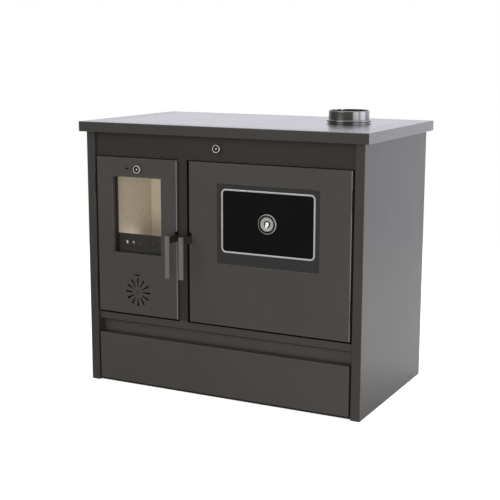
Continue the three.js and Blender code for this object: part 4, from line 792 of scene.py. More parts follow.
class Paint(Enum):
    """The painted finishes: name, colour, cloud colour, roughness and specular level."""

    # The doors' wide, strong rubbed edges are mostly a painted highlight.
    DOOR = SprayPaint("door_paint", (0.0468, 0.0423, 0.0383), (0.0505, 0.0455, 0.0416), 0.42, 0.35,
                      rub_and_highlight=0.8, reach=4 * MM)
    SIDE = SprayPaint("side_paint", (0.031, 0.029, 0.0275), (0.034, 0.032, 0.0305), 0.3, 0.4)
    FRAME = SprayPaint("frame_paint", (0.028, 0.0247, 0.0218), (0.0309, 0.0271, 0.0242), 0.42, 0.35)
    # The front frame: a darker copy of the frame paint as painted shade under the hob's overhang, turning
    # lighter on the rail below the doors as painted light.
    FRAME_SHADED_LIT_RAIL = SprayPaint("frame_paint_shaded_lit_rail", (0.0235, 0.0205, 0.018), (0.026, 0.023, 0.0205), 0.42, 0.35,
                        painted_light_fade=PaintedLightFade((0.043, 0.039, 0.0355), 0.236, 0.232))
    SURROUND = SprayPaint("surround_enamel", (0.0235, 0.0245, 0.024), (0.0255, 0.0265, 0.026), 0.5, 0.2)
    # The drawer bay's roof turns dark near its top: painted shade under the rail.
    RECESS_SHADED_UNDER_RAIL = SprayPaint("recess_paint_shaded_under_rail", (0.062, 0.057, 0.052), (0.066, 0.061, 0.056), 0.5, 0.3,
                        painted_light_fade=PaintedLightFade((0.016, 0.015, 0.014), 0.194, 0.202))
    BLACK = SprayPaint("black_paint", (0.012, 0.0115, 0.011), (0.016, 0.015, 0.014), 0.5, 0.3)
    # A paler copy of the side panels' paint for their front strips: painted light.
    STRIP_LIT_COPY = SprayPaint("strip_paint_lit_copy", (0.0345, 0.031, 0.0275), (0.0375, 0.0335, 0.03), 0.42, 0.35)
    # A pale paint that is a painted highlight on the doors' right folds.
    EDGE_HIGHLIGHT = SprayPaint("edge_highlight_paint", (0.17, 0.165, 0.158), (0.15, 0.146, 0.14), 0.45, 0.4, rub_and_highlight=0.0)
    # Near-black paint that stands in for the shade in gaps and holes.
    GAP_SHADE = SprayPaint("gap_shade_black", (0.006, 0.006, 0.006), (0.008, 0.008, 0.008), 0.8, 0.05, rub_and_highlight=0.0)
    DIAL = SprayPaint("dial_black", (0.006, 0.006, 0.007), (0.008, 0.008, 0.009), 0.5, 0.2, rub_and_highlight=0.0)


class Metal(Enum):
    """The bare metal finishes: name, bright colour, dull colour, roughness and its swing."""

    HOB = DrawnMetal("hob_steel", (0.24, 0.238, 0.244), (0.205, 0.203, 0.21), 0.27, 0.05,
                     lines=(6.0, 260.0, 6.0), depth=0.01 * MM)
    RIM = DrawnMetal("rim_steel", (0.178, 0.176, 0.18), (0.155, 0.153, 0.157), 0.27, 0.05,
                     lines=(6.0, 260.0, 6.0), depth=0.01 * MM)
    COLLAR = DrawnMetal("collar_steel", (0.235, 0.235, 0.242), (0.2, 0.2, 0.205), 0.2, 0.04,
                        lines=(20.0, 20.0, 500.0), depth=0.01 * MM)
    CHROME = DrawnMetal("trim_chrome", (0.5, 0.5, 0.5), (0.45, 0.45, 0.45), 0.42, 0.04,
                        lines=(40.0, 40.0, 40.0), depth=0.004 * MM, metallic=0.5)
    KNOB = DrawnMetal("knob_steel", (0.8, 0.79, 0.76), (0.72, 0.71, 0.68), 0.28, 0.05,
                      lines=(60.0, 60.0, 60.0), depth=0.004 * MM, metallic=0.6)
    DIAL = DrawnMetal("dial_silver", (0.47, 0.47, 0.445), (0.38, 0.38, 0.36), 0.35, 0.05,
                      lines=(90.0, 90.0, 90.0), depth=0.004 * MM, metallic=0.5)
    POINTER = DrawnMetal("pointer_silver", (0.95, 0.945, 0.92), (0.9, 0.895, 0.87), 0.4, 0.05,
                         lines=(90.0, 90.0, 90.0), depth=0.002 * MM, metallic=0.1)
    GRIP = DrawnMetal("grip_steel", (0.185, 0.179, 0.17), (0.16, 0.155, 0.147), 0.45, 0.06,
                      lines=(700.0, 700.0, 12.0), depth=0.01 * MM, metallic=0.5, rub_and_highlight=0.3)
    SHEET = DrawnMetal("inner_steel", (0.16, 0.155, 0.15), (0.11, 0.107, 0.104), 0.5, 0.08,
                       lines=(8.0, 8.0, 400.0), depth=0.02 * MM)
    RACK = DrawnMetal("rack_steel", (0.7, 0.7, 0.69), (0.58, 0.58, 0.57), 0.25, 0.06,
                      lines=(50.0, 50.0, 50.0), depth=0.01 * MM)


class Grain(Enum):
    """The grainy finishes: name, ground, grain, roughness, grains per metre and their depth."""

    IRON = GrainySkin("grate_iron", (0.022, 0.020, 0.018), (0.040, 0.036, 0.032), 0.72, 450.0, 0.2 * MM,
                      metallic=0.2)
    # The side boards and the back board are one board; the back's lighter copy is painted light, for the back
    # is lit more than the sides.
    BOARD = GrainySkin("fire_board", (0.46, 0.392, 0.297), (0.55, 0.48, 0.375), 0.9, 260.0, 0.4 * MM,
                       specular=0.2)
    LIT_BACK_BOARD = GrainySkin("lit_back_fire_board", (0.62, 0.525, 0.4), (0.71, 0.62, 0.49), 0.9, 260.0,
                             0.4 * MM, specular=0.2)
    ENAMEL = GrainySkin("oven_enamel", (0.045, 0.045, 0.05), (0.085, 0.085, 0.09), 0.25, 900.0, 0.01 * MM)


FIRE_GLASS = ClearGlass("fire_glass", (0.93, 0.94, 0.92))
BLACK_GLASS = DarkGlass("black_glass", (0.003, 0.003, 0.0035), 0.12)
ROPE = RopeYarn("rope_seal", (0.02, 0.0195, 0.0185), (0.055, 0.053, 0.05))


# ------------------------------------------------------------------ pieces
def join(piece: Piece, body: str, slot: str, finish: Finish, *replaced: str) -> Piece:
    """Makes a new piece part of the stove.

    Args:
        piece: the piece.
        body: the body it rides on.
        slot: the record's material slot; not used.
        finish: what it is dressed in.
        replaced: the frame nodes that it stands for.

    Returns:
        The same piece.
    """
    finish.dress(piece)
    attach(piece, body)
    if replaced:
        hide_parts(*replaced)
    LOG.info("%s rides on %s", piece.name, body)
    return piece


def face_centres(piece: Piece) -> np.ndarray:
    """The centre of each of a piece's faces.

    Args:
        piece: the piece.

    Returns:
        One row of three metres for each face.
    """
    place = np.zeros(len(piece.data.polygons) * 3, np.float32)
    piece.data.polygons.foreach_get("center", place)
    return place.reshape(-1, 3)


def dress_faces(piece: Piece, finish: Finish, chosen: np.ndarray) -> None:
    """Gives a second finish to some of a piece's faces."""
    piece.data.materials.append(finish.material())
    piece.data.polygons.foreach_set("material_index", chosen.astype(np.int32))


def paint_fold_highlight(piece: Piece) -> None:
    """Paints a highlight in pale paint on the fold along a door's right edge.

    Args:
        piece: the door's skin.
    """
    side = max(corner[0] for corner in piece.bound_box)
    x = face_centres(piece)[:, 0]
    dress_faces(piece, Paint.EDGE_HIGHLIGHT.value, (x > side - FOLD + FOLD_MARGIN) & (x < side - FOLD_MARGIN))


def shade_ring(piece: Piece, centre: Point, radii: Pair, heights: Pair) -> None:
    """Paints a ring of a turned piece's faces black.

    Args:
        piece: the piece.
        centre: where its height 0 lies.
        radii: the ring's inner and outer radius.
        heights: the ring's lowest and highest place towards the front.
    """
    place = face_centres(piece)
    out = np.hypot(place[:, 0] - centre[0], place[:, 2] - centre[2])
    up = centre[1] - place[:, 1]
    ring = (out > radii[0]) & (out < radii[1]) & (up > heights[0]) & (up < heights[1])
    dress_faces(piece, Paint.DIAL.value, ring)


def chamber(node: str, slot: str, finish: Finish) -> None:
    """A sheet chamber whose mouth flange, which the door's gasket meets, is painted near black as the shade
    in the gap round the door.

    Args:
        node: the chamber's node.
        slot: the record's material slot.
        finish: what the rest of it is dressed in.
    """
    sheet, margin = 2 * MM, 0.2 * MM
    piece = join(refined(node, 0.5 * MM), "stove_body", slot, finish, node)
    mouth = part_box(node)[0].y
    dress_faces(piece, Paint.GAP_SHADE.value, face_centres(piece)[:, 1] < mouth + sheet + margin)


@dataclass
class Edged:
    """Frame nodes that keep their shape and get rounded edges.

    Each row holds a node, its material slot, its finish and the width of its rounding in millimetres.
    """

    body: str
    rows: list[tuple[str, str, Finish, float]]

    def build(self) -> None:
        """Makes and dresses a rounded copy of each node."""
        for node, slot, finish, edge in self.rows:
            join(refined(node, edge * MM), self.body, slot, finish, node)


# ------------------------------------------------------------------ sub-assemblies
@dataclass
class Carcass:
    """The painted sheets that hold the stove together, and the screws in its back."""

    frame_sheet: float = 2 * MM
    strip_depth: float = 1 * MM
    screw_radius: float = 4.2 * MM
    screw_head: float = 2.4 * MM
    screw_inset: float = 16 * MM
    screw_drop: float = 10 * MM
    screws_across: int = 6
    screws_up: int = 5
    socket: float = 0.3
    socket_slope: float = 0.02
    socket_depth: float = 0.6
    screw_sides: int = 16

    def build(self) -> None:
        """Builds the sheets and the screws."""
        Edged("stove_body", [
            ("base_pan", "carcass_paint", Paint.BLACK.value, 0.6),
            ("back_panel", "carcass_paint", Paint.FRAME.value, 0.4),
            ("drawer_bay_roof", "carcass_paint", Paint.RECESS_SHADED_UNDER_RAIL.value, 0.8),
        ]).build()
        self.front()
        for side in ("left_side_panel", "right_side_panel"):
            self.side(side)
        self.back_screws()

    def front(self) -> None:
        """The frame round the doors, painted near black as shade where it is seen through the gaps beside
        them.
        """
        node = "front_frame"
        piece = join(refined(node, 1.2 * MM), "stove_body", "carcass_paint", Paint.FRAME_SHADED_LIT_RAIL.value, node)
        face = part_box(node)[0].y
        dress_faces(piece, Paint.GAP_SHADE.value, face_centres(piece)[:, 1] > face + self.frame_sheet)

    def side(self, node: str) -> None:
        """A side panel, whose folded front strip gets a paler copy of the side's paint as painted light on
        its front face.

        Args:
            node: the panel's node.
        """
        piece = join(refined(node, 0.5 * MM), "stove_body", "side_paint", Paint.SIDE.value, node)
        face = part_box(node)[0].y
        dress_faces(piece, Paint.STRIP_LIT_COPY.value, face_centres(piece)[:, 1] < face + self.strip_depth)

    def back_screws(self) -> None:
        """Domed screws round the back panel's edge: a turned quarter round with a socket."""
        low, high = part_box("back_panel")
        x = np.linspace(low.x + self.screw_inset, high.x - self.screw_inset, self.screws_across)
        top = high.z - self.screw_inset - self.screw_drop
        z = np.linspace(low.z + self.screw_inset, top, self.screws_up)
        places = [(a, b) for a in x for b in (z[0], z[-1])]
        places += [(a, b) for a in (x[0], x[-1]) for b in z[1:-1]]
        floor = 1 - self.socket_depth
        dome, mouth = arc((0, 0), 1, 0, 90, 5)[:-1], self.socket + self.socket_slope
        share = [(0, 0), *dome, (mouth, 1), (self.socket, floor), (0, floor)]
        profile = [(self.screw_radius * out, self.screw_head * up) for out, up in share]
        points, faces = turned(profile, (0, 0, 0), Axis.FRONT, self.screw_sides)
        heads = [(points * (1, -1, 1) + (a, high.y, b), faces) for a, b in places]
        screws = mesh_object("back_panel_screws", stacked(heads))
        join(screws, "stove_body", "inner_steel", Metal.SHEET.value)


@dataclass
class Hob:
    """The hob's frame and its two steel plates."""

    margin: float = 1 * MM

    def build(self) -> None:
        """Builds the frame and the plates."""
        Edged("stove_body", [
            ("hob_frame", "hob_rim_steel", Metal.RIM.value, 0.6),
            ("hob_plate_right", "hob_plate_steel", Metal.HOB.value, 0.7),
        ]).build()
        self.lifting_plate()

    def lifting_plate(self) -> None:
        """The left plate, with painted shade in its two lifting holes, whose faces all lie well inside its
        box.
        """
        node = "hob_plate_left"
        piece = join(refined(node, 0.7 * MM), "hob_plate", "hob_plate_steel", Metal.HOB.value, node)
        low, high = (np.array(corner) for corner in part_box(node))
        place = face_centres(piece)
        inside = (place > low + self.margin) & (place < high - self.margin)
        dress_faces(piece, Paint.GAP_SHADE.value, np.all(inside, axis=1))


@dataclass
class FlueOutlet:
    """The turned collar, with its duct and damper below."""

    radius: float = 64 * MM
    wall: float = 4 * MM
    neck: float = 65 * MM
    seat: float = 0.3 * MM
    bead: float = 70.5 * MM
    bead_bottom: float = 4.5 * MM
    bead_top: float = 11 * MM
    bead_flatness: float = 0.55
    fillet: float = 0.6 * MM
    first_ring: float = 2 * MM
    height: float = 40 * MM
    bevel: float = 3 * MM
    lip: float = 0.5 * MM
    spigot: float = 58 * MM
    spigot_depth: float = 6 * MM
    notch_degrees: Pair = (133, 154)
    notch_width: float = 7 * MM
    notch_depth: float = 5 * MM
    rings: int = 8
    sides: int = 360

    def profile(self) -> list[Pair]:
        """The collar's outline: spigot, seat, bead, outer wall, rim and bore.

        Returns:
            Radius and height pairs, closed on the spigot's foot.
        """
        half = (self.bead_top - self.bead_bottom) / 2
        middle = (self.bead - half * self.bead_flatness, self.bead_bottom + half)
        bead = [(middle[0] + half * self.bead_flatness * out, middle[1] + half * up)
                for out, up in arc((0, 0), 1, -90, 90, 10)]
        foot = (self.spigot - self.wall, -self.spigot_depth)
        shoulder = self.height - self.bevel
        bore = self.radius - self.wall
        outer = np.linspace(self.bead_top + self.first_ring, shoulder, self.rings)
        inner = np.linspace(shoulder, self.bead_bottom, self.rings)
        return [
            foot, (self.spigot, -self.spigot_depth), (self.spigot, self.seat), (self.neck, self.seat),
            (self.neck, self.bead_bottom), *bead, (self.radius + self.fillet, self.bead_top),
            (self.radius, self.bead_top + self.fillet), *((self.radius, level) for level in outer),
            *arc((self.radius - self.bevel, shoulder), self.bevel, 15, 75, 4),
            (self.radius - self.bevel, self.height), (bore + self.lip, self.height),
            (bore, self.height - self.lip), *((bore, level) for level in inner),
            (self.spigot - self.wall, self.bead_bottom), foot]

    def collar(self) -> Piece:
        """The collar: its outline turned about Z, with the rim lowered in two V notches.

        Returns:
            The piece.
        """
        low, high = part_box("flue_collar")
        centre = ((low.x + high.x) / 2, (low.y + high.y) / 2, low.z + self.spigot_depth)
        points, faces = turned(self.profile(), (0, 0, 0), Axis.UP, self.sides)
        angle = np.arctan2(points[:, 1], points[:, 0])
        top = np.full(len(points), self.height)
        for degrees in self.notch_degrees:
            away = np.abs((angle - math.radians(degrees) + np.pi) % (2 * np.pi) - np.pi) * self.radius
            top -= self.notch_depth * np.clip(1 - away / (self.notch_width / 2), 0, 1)
        rim = points[:, 2] > self.height - self.notch_depth - self.bevel
        points[rim, 2] = np.minimum(points[rim, 2], top[rim])
        return mesh_object("flue_collar_turned", (points + centre, faces), 40)

    def build(self) -> None:
        """Builds the collar, the duct, the damper and its knob."""
        join(self.collar(), "stove_body", "collar_iron", Metal.COLLAR.value, "flue_collar")
        Edged("stove_body", [("flue_duct", "inner_steel", Metal.SHEET.value, 0.5)]).build()
        Edged("damper", [("damper_plate_and_rod", "inner_steel", Metal.SHEET.value, 0.5)]).build()
        Knob("damper_knob", "damper").build()


@dataclass
class Knob:
    """A turned pull knob: a bright rim round a dark dish with a bright stud."""

    node: str
    body: str
    bore: float = 2.5 * MM
    bore_depth: float = 6 * MM
    foot_inset: float = 3 * MM
    foot_round: float = 0.8 * MM
    neck_inset: float = 2.2 * MM
    neck_height: float = 4 * MM
    skirt_height: float = 5.6 * MM
    skirt_round: float = 1.2 * MM
    brim: float = 1.6 * MM
    rim: float = 2.2 * MM
    rim_bright: float = 0.3 * MM
    dish: float = 1.7 * MM
    dish_step: float = 0.6 * MM
    dish_slope: float = 0.7 * MM
    play: float = 0.2 * MM
    stud: float = 3.4 * MM
    stud_sink: float = 1.2 * MM
    stud_gap: float = 0.4 * MM
    stud_edge: float = 0.93
    sides: int = 72

    def build(self) -> None:
        """Turns foot, neck, skirt, rim, dish and stud about the front direction, and blackens the dish."""
        low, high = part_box(self.node)
        radius, height = (high.x - low.x) / 2, high.y - low.y
        centre = back_centre(self.node)
        foot, inner = radius - self.foot_inset, radius - self.rim
        wall, floor = inner - self.play, height - self.dish - self.dish_step
        stud = arc((0, floor - self.stud_sink), self.stud, 22, 90, 8)
        profile = [
            (0, self.bore_depth), (self.bore, self.bore_depth), (self.bore, 0), (foot, 0),
            *arc((foot, self.foot_round), self.foot_round, -90, -10, 4),
            (radius - self.neck_inset, self.neck_height),
            *arc((radius - self.skirt_round, self.skirt_height), self.skirt_round, -80, 0, 5),
            (radius, height - self.brim),
            *arc((radius - self.rim / 2, height - self.rim / 2), self.rim / 2, 0, 170, 12),
            (wall, height - self.dish), (wall - self.dish_slope, floor),
            (self.stud + self.stud_gap, floor), *stud[:-1], (0, stud[-1][1])]
        knob = mesh_object(self.node + "_turned", turned(profile, centre, Axis.FRONT, self.sides), 40)
        join(knob, self.body, "knob_steel", Metal.KNOB.value, self.node)
        heights = (floor - self.play, height - self.rim_bright)
        shade_ring(knob, centre, (self.stud * self.stud_edge, inner), heights)


@dataclass
class Firebox:
    """The lined fire chamber with its grate, log retainer and ash pan."""

    def build(self) -> None:
        """Builds the chamber's pieces."""
        Edged("stove_body", [
            # The back lining's lighter board colour is painted light.
            ("firebox_lining_left", "fire_board", Grain.BOARD.value, 1.2),
            ("firebox_lining_right", "fire_board", Grain.BOARD.value, 1.2),
            ("firebox_lining_back", "fire_board", Grain.LIT_BACK_BOARD.value, 1.2),
            ("fire_grate", "grate_iron", Grain.IRON.value, 1.5),
            ("log_retainer", "grate_iron", Paint.BLACK.value, 0.8),
            ("ash_pan", "inner_steel", Metal.SHEET.value, 0.4),
        ]).build()
        chamber("firebox_shell", "inner_steel", Paint.BLACK.value)


@dataclass
class OvenChamber:
    """The oven's enamelled box and its rack of round wire."""

    wire: float = 2.5 * MM
    wire_step: float = 6 * MM
    wire_sides: int = 12
    bar: float = 1.8 * MM
    bars: int = 21
    corner: float = 12 * MM

    def rack(self) -> Piece:
        """A round wire carried round the rack's edge, with straight bars welded across it.

        Returns:
            The piece.
        """
        low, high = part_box("oven_rack")
        level = (low.z + high.z) / 2
        loop = rounded_loop((low.x, high.x, low.y, high.y), self.wire, self.corner, self.wire_step)
        turn = round_steps(self.wire_sides)
        edge, faces = carried(self.wire * np.stack([np.cos(turn), np.sin(turn)], axis=1), loop, 0.0)
        edge = edge[:, [0, 2, 1]] + (0, 0, level)
        x = np.linspace(low.x, high.x, self.bars + 2)[1:-1]
        starts, ends = (np.stack(np.broadcast_arrays(x, y, level), axis=1)
                        for y in (low.y + self.wire, high.y - self.wire))
        bars = straight_rods(starts, ends, self.bar, self.wire_sides)
        return mesh_object("oven_rack_wire", stacked([(edge, faces), bars]), 50)

    def build(self) -> None:
        """Builds the box and the rack."""
        chamber("oven_box", "oven_enamel", Grain.ENAMEL.value)
        join(self.rack(), "stove_body", "knob_steel", Metal.RACK.value, "oven_rack")


@dataclass
class Door:
    """What both doors share: the pressed front, the rope seal, the hinges and the handle."""

    prefix: str
    handle_body: str
    rope_half: float = 6 * MM
    rope_corner: float = 9 * MM
    rope_step: float = 2.5 * MM
    rope_sides: int = 18
    strands: int = 3
    lay: float = 16 * MM
    strand_bulge: float = 0.13
    barrel: float = 30 * MM
    chamfer: float = 0.5 * MM
    pin: float = 1.6 * MM
    pin_play: float = 0.3 * MM
    bore_depth: float = 26.5 * MM
    hinge_sides: int = 32

    def rope(self) -> None:
        """The seal: a flattened ring carried round the mouth, swelling along strands that wind round it."""
        node = self.prefix + "_gasket"
        low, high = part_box(node)
        half, thick = self.rope_half, (high.y - low.y) / 2
        loop = rounded_loop((low.x, high.x, low.z, high.z), half, self.rope_corner, self.rope_step)
        gone = np.arange(len(loop))[:, None] / len(loop)
        winds = round(len(loop) * self.rope_step / self.lay)
        turn = round_steps(self.rope_sides)
        wave = np.abs(np.cos((self.strands * turn + 2 * np.pi * winds * gone) / 2))
        swell = 1 - self.strand_bulge + self.strand_bulge * wave
        section = np.stack([half * np.cos(turn) * swell, thick * np.sin(turn) * swell], axis=-1)
        seal = mesh_object(node + "_rope", carried(section, loop, (low.y + high.y) / 2), 80)
        join(seal, self.prefix, "rope_seal", ROPE, node)

    def hinges(self) -> None:
        """Turned barrels with chamfered ends, one with the pin and one bored for it."""
        for level in ("lower", "upper"):
            for half, body in (("pin", "stove_body"), ("knuckle", self.prefix)):
                node = f"{self.prefix}_{level}_hinge_{half}"
                piece = self.hinge_half(node, half == "pin")
                # The hinges wear the same near-black paint as the shaded gaps.
                join(piece, body, "carcass_paint", Paint.GAP_SHADE.value, node)

    def hinge_half(self, node: str, pinned: bool) -> Piece:
        """One half of a hinge: a chamfered barrel turned about Z.

        Args:
            node: the frame node it stands for.
            pinned: whether the pin stands up from it, and otherwise it is bored for the pin.

        Returns:
            The piece.
        """
        low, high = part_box(node)
        radius, cut, tall = (high.x - low.x) / 2, self.chamfer, high.z - low.z
        centre = ((low.x + high.x) / 2, (low.y + high.y) / 2, low.z)
        top = self.barrel
        barrel = [(radius - cut, 0), (radius, cut), (radius, top - cut), (radius - cut, top)]
        if pinned:
            tip = [(self.pin, top), (self.pin, tall - cut), (self.pin - cut, tall), (0, tall)]
            profile = [(0, 0), *barrel, *tip]
        else:
            bore = self.pin + self.pin_play
            hole = [(0, top), (0, self.bore_depth), (bore, self.bore_depth), (bore, 0)]
            profile = [(bore, 0), *barrel, *hole]
        return mesh_object(node + "_turned", turned(profile, centre, Axis.UP, self.hinge_sides), 40)

    def furniture(self) -> None:
        """The pivot, the arm and the grip of the handle."""
        Edged(self.prefix, [(self.prefix + "_handle_pivot", "inner_steel", Metal.SHEET.value, 0.3)]).build()
        Edged(self.handle_body, [
            (self.prefix + "_handle_arm", "carcass_paint", Paint.FRAME.value, 0.5),
            (self.prefix + "_handle_grip", "grip_steel", Metal.GRIP.value, 0.3),
        ]).build()

    def skin(self) -> None:
        """The door's pressed front, with a painted highlight on the fold along its right edge."""
        node = self.prefix + "_skin"
        paint_fold_highlight(join(refined(node, 0.9 * MM), self.prefix, "door_paint", Paint.DOOR.value, node))

    def fit(self) -> None:
        """Builds the seal, the hinges and the handle."""
        self.rope()
        self.hinges()
        self.furniture()


@dataclass
class FireDoor:
    """The firebox door: its window and its two air controls."""

    rivet_head: float = 1.6 * MM
    rivet_shank: float = 2.5 * MM
    rivet_closing: Pair = (0.8, 0.4)
    rivet_sides: int = 32

    def rivet(self) -> Piece:
        """The rosette's rivet: a domed head on a shank, with the closing head behind, turned to the front.

        Returns:
            The piece.
        """
        low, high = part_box("primary_air_rivet")
        radius, length, head = (high.x - low.x) / 2, high.y - low.y, self.rivet_head
        flat, edge = self.rivet_closing
        closing = [(0, 0), (radius * flat, 0), (radius, head * edge), (radius, head)]
        shank = [(self.rivet_shank, head), (self.rivet_shank, length - head)]
        dome = [(radius * out, length - head + head * up) for out, up in arc((0, 0), 1, 0, 90, 6)]
        profile = [*closing, *shank, *dome[:-1], (0, length)]
        surface = turned(profile, back_centre("primary_air_rivet"), Axis.FRONT, self.rivet_sides)
        return mesh_object("primary_air_rivet_turned", surface, 40)

    def build(self) -> None:
        """Builds the door, its glass and its air controls."""
        door = Door("firebox_door", "firebox_handle")
        door.skin()
        Edged("firebox_door", [
            ("firebox_window_reveal", "door_paint", Paint.DOOR.value, 1.0),
            ("firebox_window_glass", "fire_glass", FIRE_GLASS, 0.3),
            ("firebox_glass_retainer", "carcass_paint", Paint.BLACK.value, 0.4),
            ("firebox_door_liner", "inner_steel", Metal.SHEET.value, 0.4),
        ]).build()
        join(self.rivet(), "firebox_door", "inner_steel", Paint.FRAME.value, "primary_air_rivet")
        Edged("primary_air", [("primary_air_disc", "carcass_paint", Paint.BLACK.value, 0.3)]).build()
        Edged("secondary_air", [("secondary_air_slider", "inner_steel", Paint.BLACK.value, 0.2)]).build()
        Knob("secondary_air_knob", "secondary_air").build()
        door.fit()


@dataclass
class Thermometer:
    """The dial thermometer in the oven's window."""

    bezel: float = 30 * MM
    bezel_depth: float = 5 * MM
    bezel_round: float = 2 * MM
    bright: float = 27.9 * MM
    lip: float = 26 * MM
    well: float = 1.2 * MM
    probe: float = 5 * MM
    probe_chamfer: float = 1 * MM
    plate: float = 1 * MM
    hub: float = 1.2 * MM
    hub_height: float = 2.8 * MM
    ring_outer: float = 21 * MM
    ring_inner: float = 10.6 * MM
    ring_seat: float = 0.05 * MM
    ring_edge: Pair = (0.0, 2 * MM)
    ring_crest: Pair = (-1 * MM, 2.1 * MM)
    ring_slope: Pair = (3 * MM, 0.3 * MM)
    ring_lip: float = 0.25 * MM
    ticks: int = 33
    tick_inner: float = 22.2 * MM
    tick_outer: float = 24.6 * MM
    tick_half: float = 0.22 * MM
    tick_lift: float = 0.02 * MM
    tick_print: float = 0.12 * MM
    rest_degrees: float = 200
    sweep_degrees: float = 320
    pointer_tail: float = 6.5 * MM
    pointer_tip: float = 12.5 * MM
    pointer_half: float = 5.2 * MM
    pointer_end: float = 0.25 * MM
    pointer_edge: float = 0.45 * MM
    pointer_crown: float = 0.35 * MM
    pointer_lean: float = 0.62
    pointer_fullness: float = 0.8
    pointer_across: tuple[float, ...] = (-1, -0.55, 0, 0.55, 1)
    pointer_rise: tuple[float, ...] = (0.0, 0.7, 1.0, 0.7, 0.0)
    pointer_steps: int = 40
    boss: tuple[Pair, ...] = (
        (0, 0), (3.4 * MM, 0), (3.4 * MM, 0.5 * MM), (2.4 * MM, 1.1 * MM), (0, 1.3 * MM))
    boss_sides: int = 32
    dial_sides: int = 72
    hub_sides: int = 24
    sides: int = 96
    x: float = field(init=False)
    z: float = field(init=False)

    def __post_init__(self) -> None:
        """Finds the dial's axis from the case."""
        self.x, _, self.z = back_centre("thermometer_case")

    def case(self) -> None:
        """The bezel with its rolled lip, and the probe behind it, turned to the front."""
        low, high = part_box("thermometer_case")
        centre, length = (self.x, high.y, self.z), high.y - low.y
        seat, roll = length - self.bezel_depth, self.bezel_round
        profile = [(0, 0), (self.probe - self.probe_chamfer, 0), (self.probe, self.probe_chamfer),
                   (self.probe, seat), (self.bezel, seat),
                   *arc((self.bezel - roll, length - roll), roll, 0, 180, 14),
                   (self.lip, seat + self.well), (0, seat + self.well)]
        case = mesh_object("thermometer_case_turned", turned(profile, centre, Axis.FRONT, self.sides), 40)
        join(case, "oven_door", "trim_chrome", Metal.CHROME.value, "thermometer_case")
        shade_ring(case, centre, (0.0, self.bright), (seat + self.well / 2, length + self.well))

    def dial(self) -> None:
        """A black dial with a hub, and a dished silver ring on it, all turned to the front."""
        low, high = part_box("thermometer_dial")
        edge, face = (high.x - low.x) / 2, high.y - self.plate
        centre = (self.x, high.y, self.z)
        plate = [(0, 0), (edge, 0), (edge, self.plate), (0, self.plate)]
        hub = [(0, self.plate), (self.hub, self.plate), (self.hub, self.hub_height), (0, self.hub_height)]
        parts = stacked([turned(plate, centre, Axis.FRONT, self.dial_sides),
                         turned(hub, centre, Axis.FRONT, self.hub_sides)])
        join(mesh_object("thermometer_dial_face", parts, 40), "oven_door", "dial_black", Paint.DIAL.value,
             "thermometer_dial")
        outer, inner = self.ring_outer, self.ring_inner
        foot = (inner, self.ring_seat)
        ring = [foot, (outer, self.ring_seat),
                *((outer + out, up) for out, up in (self.ring_edge, self.ring_crest)),
                (inner + self.ring_slope[0], self.ring_slope[1]), (inner, self.ring_lip), foot]
        surface = turned(ring, (self.x, face, self.z), Axis.FRONT, self.sides)
        join(mesh_object("thermometer_dial_ring", surface), "oven_door", "trim_chrome", Metal.DIAL.value)
        self.scale(face)

    def scale(self, face: float) -> None:
        """Tick marks on the black border, as thin raised blocks of print.

        Args:
            face: the dial's front.
        """
        angle = np.radians(self.rest_degrees + self.sweep_degrees * np.linspace(0, 1, self.ticks))
        around = ((self.tick_inner, -1), (self.tick_inner, 1), (self.tick_outer, 1), (self.tick_outer, -1))
        corners = []
        for height in (0, self.tick_print):
            for radius, side in around:
                aside = side * self.tick_half
                x = self.x + radius * np.sin(angle) + aside * np.cos(angle)
                z = self.z + radius * np.cos(angle) - aside * np.sin(angle)
                corners.append(np.stack([x, np.full(len(x), face - self.tick_lift - height), z], axis=1))
        points = np.stack(corners, axis=1).reshape(-1, 3)
        block = np.array([(0, 1, 2, 3), (4, 5, 6, 7), (0, 1, 5, 4),
                          (1, 2, 6, 5), (2, 3, 7, 6), (3, 0, 4, 7)])
        faces = (block[None] + 8 * np.arange(self.ticks)[:, None, None]).reshape(-1, 4)
        marks = mesh_object("thermometer_scale", (points, faces))
        join(marks, "oven_door", "trim_chrome", Metal.DIAL.value)

    def blade(self) -> Surface:
        """The pointer's blade, upright about the axis, with its back at Y 0.

        The half width is a sine of the share gone from tail to tip, drawn towards the tail, and
        the front is raised over the middle line.

        Returns:
            Points and faces.
        """
        along = np.linspace(-self.pointer_tail, self.pointer_tip, self.pointer_steps)
        share = np.linspace(0, 1, self.pointer_steps)
        bulge = np.maximum(np.sin(np.pi * share ** self.pointer_lean), 0) ** self.pointer_fullness
        wide = self.pointer_half * bulge + self.pointer_end
        x = wide[:, None] * np.array(self.pointer_across)
        lift = self.pointer_edge + self.pointer_crown * np.array(self.pointer_rise)
        x, front, z = np.broadcast_arrays(x, lift, along[:, None])
        top = np.stack([x, -front, z], axis=-1)
        under = np.stack([x, np.zeros_like(x), z], axis=-1)[:, ::-1]
        points = np.concatenate([top, under], axis=1).reshape(-1, 3)
        around = 2 * len(self.pointer_across)
        sides = grid_faces(self.pointer_steps, around, wrap_columns=True)
        tail = np.array([[0, 1, 8, 9], [1, 2, 7, 8], [2, 3, 6, 7], [3, 4, 5, 6]])
        return points, np.concatenate([sides, tail, tail + (self.pointer_steps - 1) * around])

    def needle(self) -> None:
        """The pointer: its blade turned to its rest, with a stepped boss over the axis."""
        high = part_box("thermometer_needle")[1]
        centre = (self.x, high.y, self.z)
        points, faces = self.blade()
        turn = np.array(Matrix.Rotation(math.radians(self.rest_degrees), 3, "Y"))
        boss = turned(self.boss, centre, Axis.FRONT, self.boss_sides)
        whole = stacked([(points @ turn.T + np.array(centre), faces), boss])
        join(mesh_object("thermometer_pointer_blade", whole, 40), "thermometer_pointer", "trim_chrome",
             Metal.POINTER.value, "thermometer_needle")

    def build(self) -> None:
        """Builds the thermometer."""
        self.case()
        self.dial()
        self.needle()


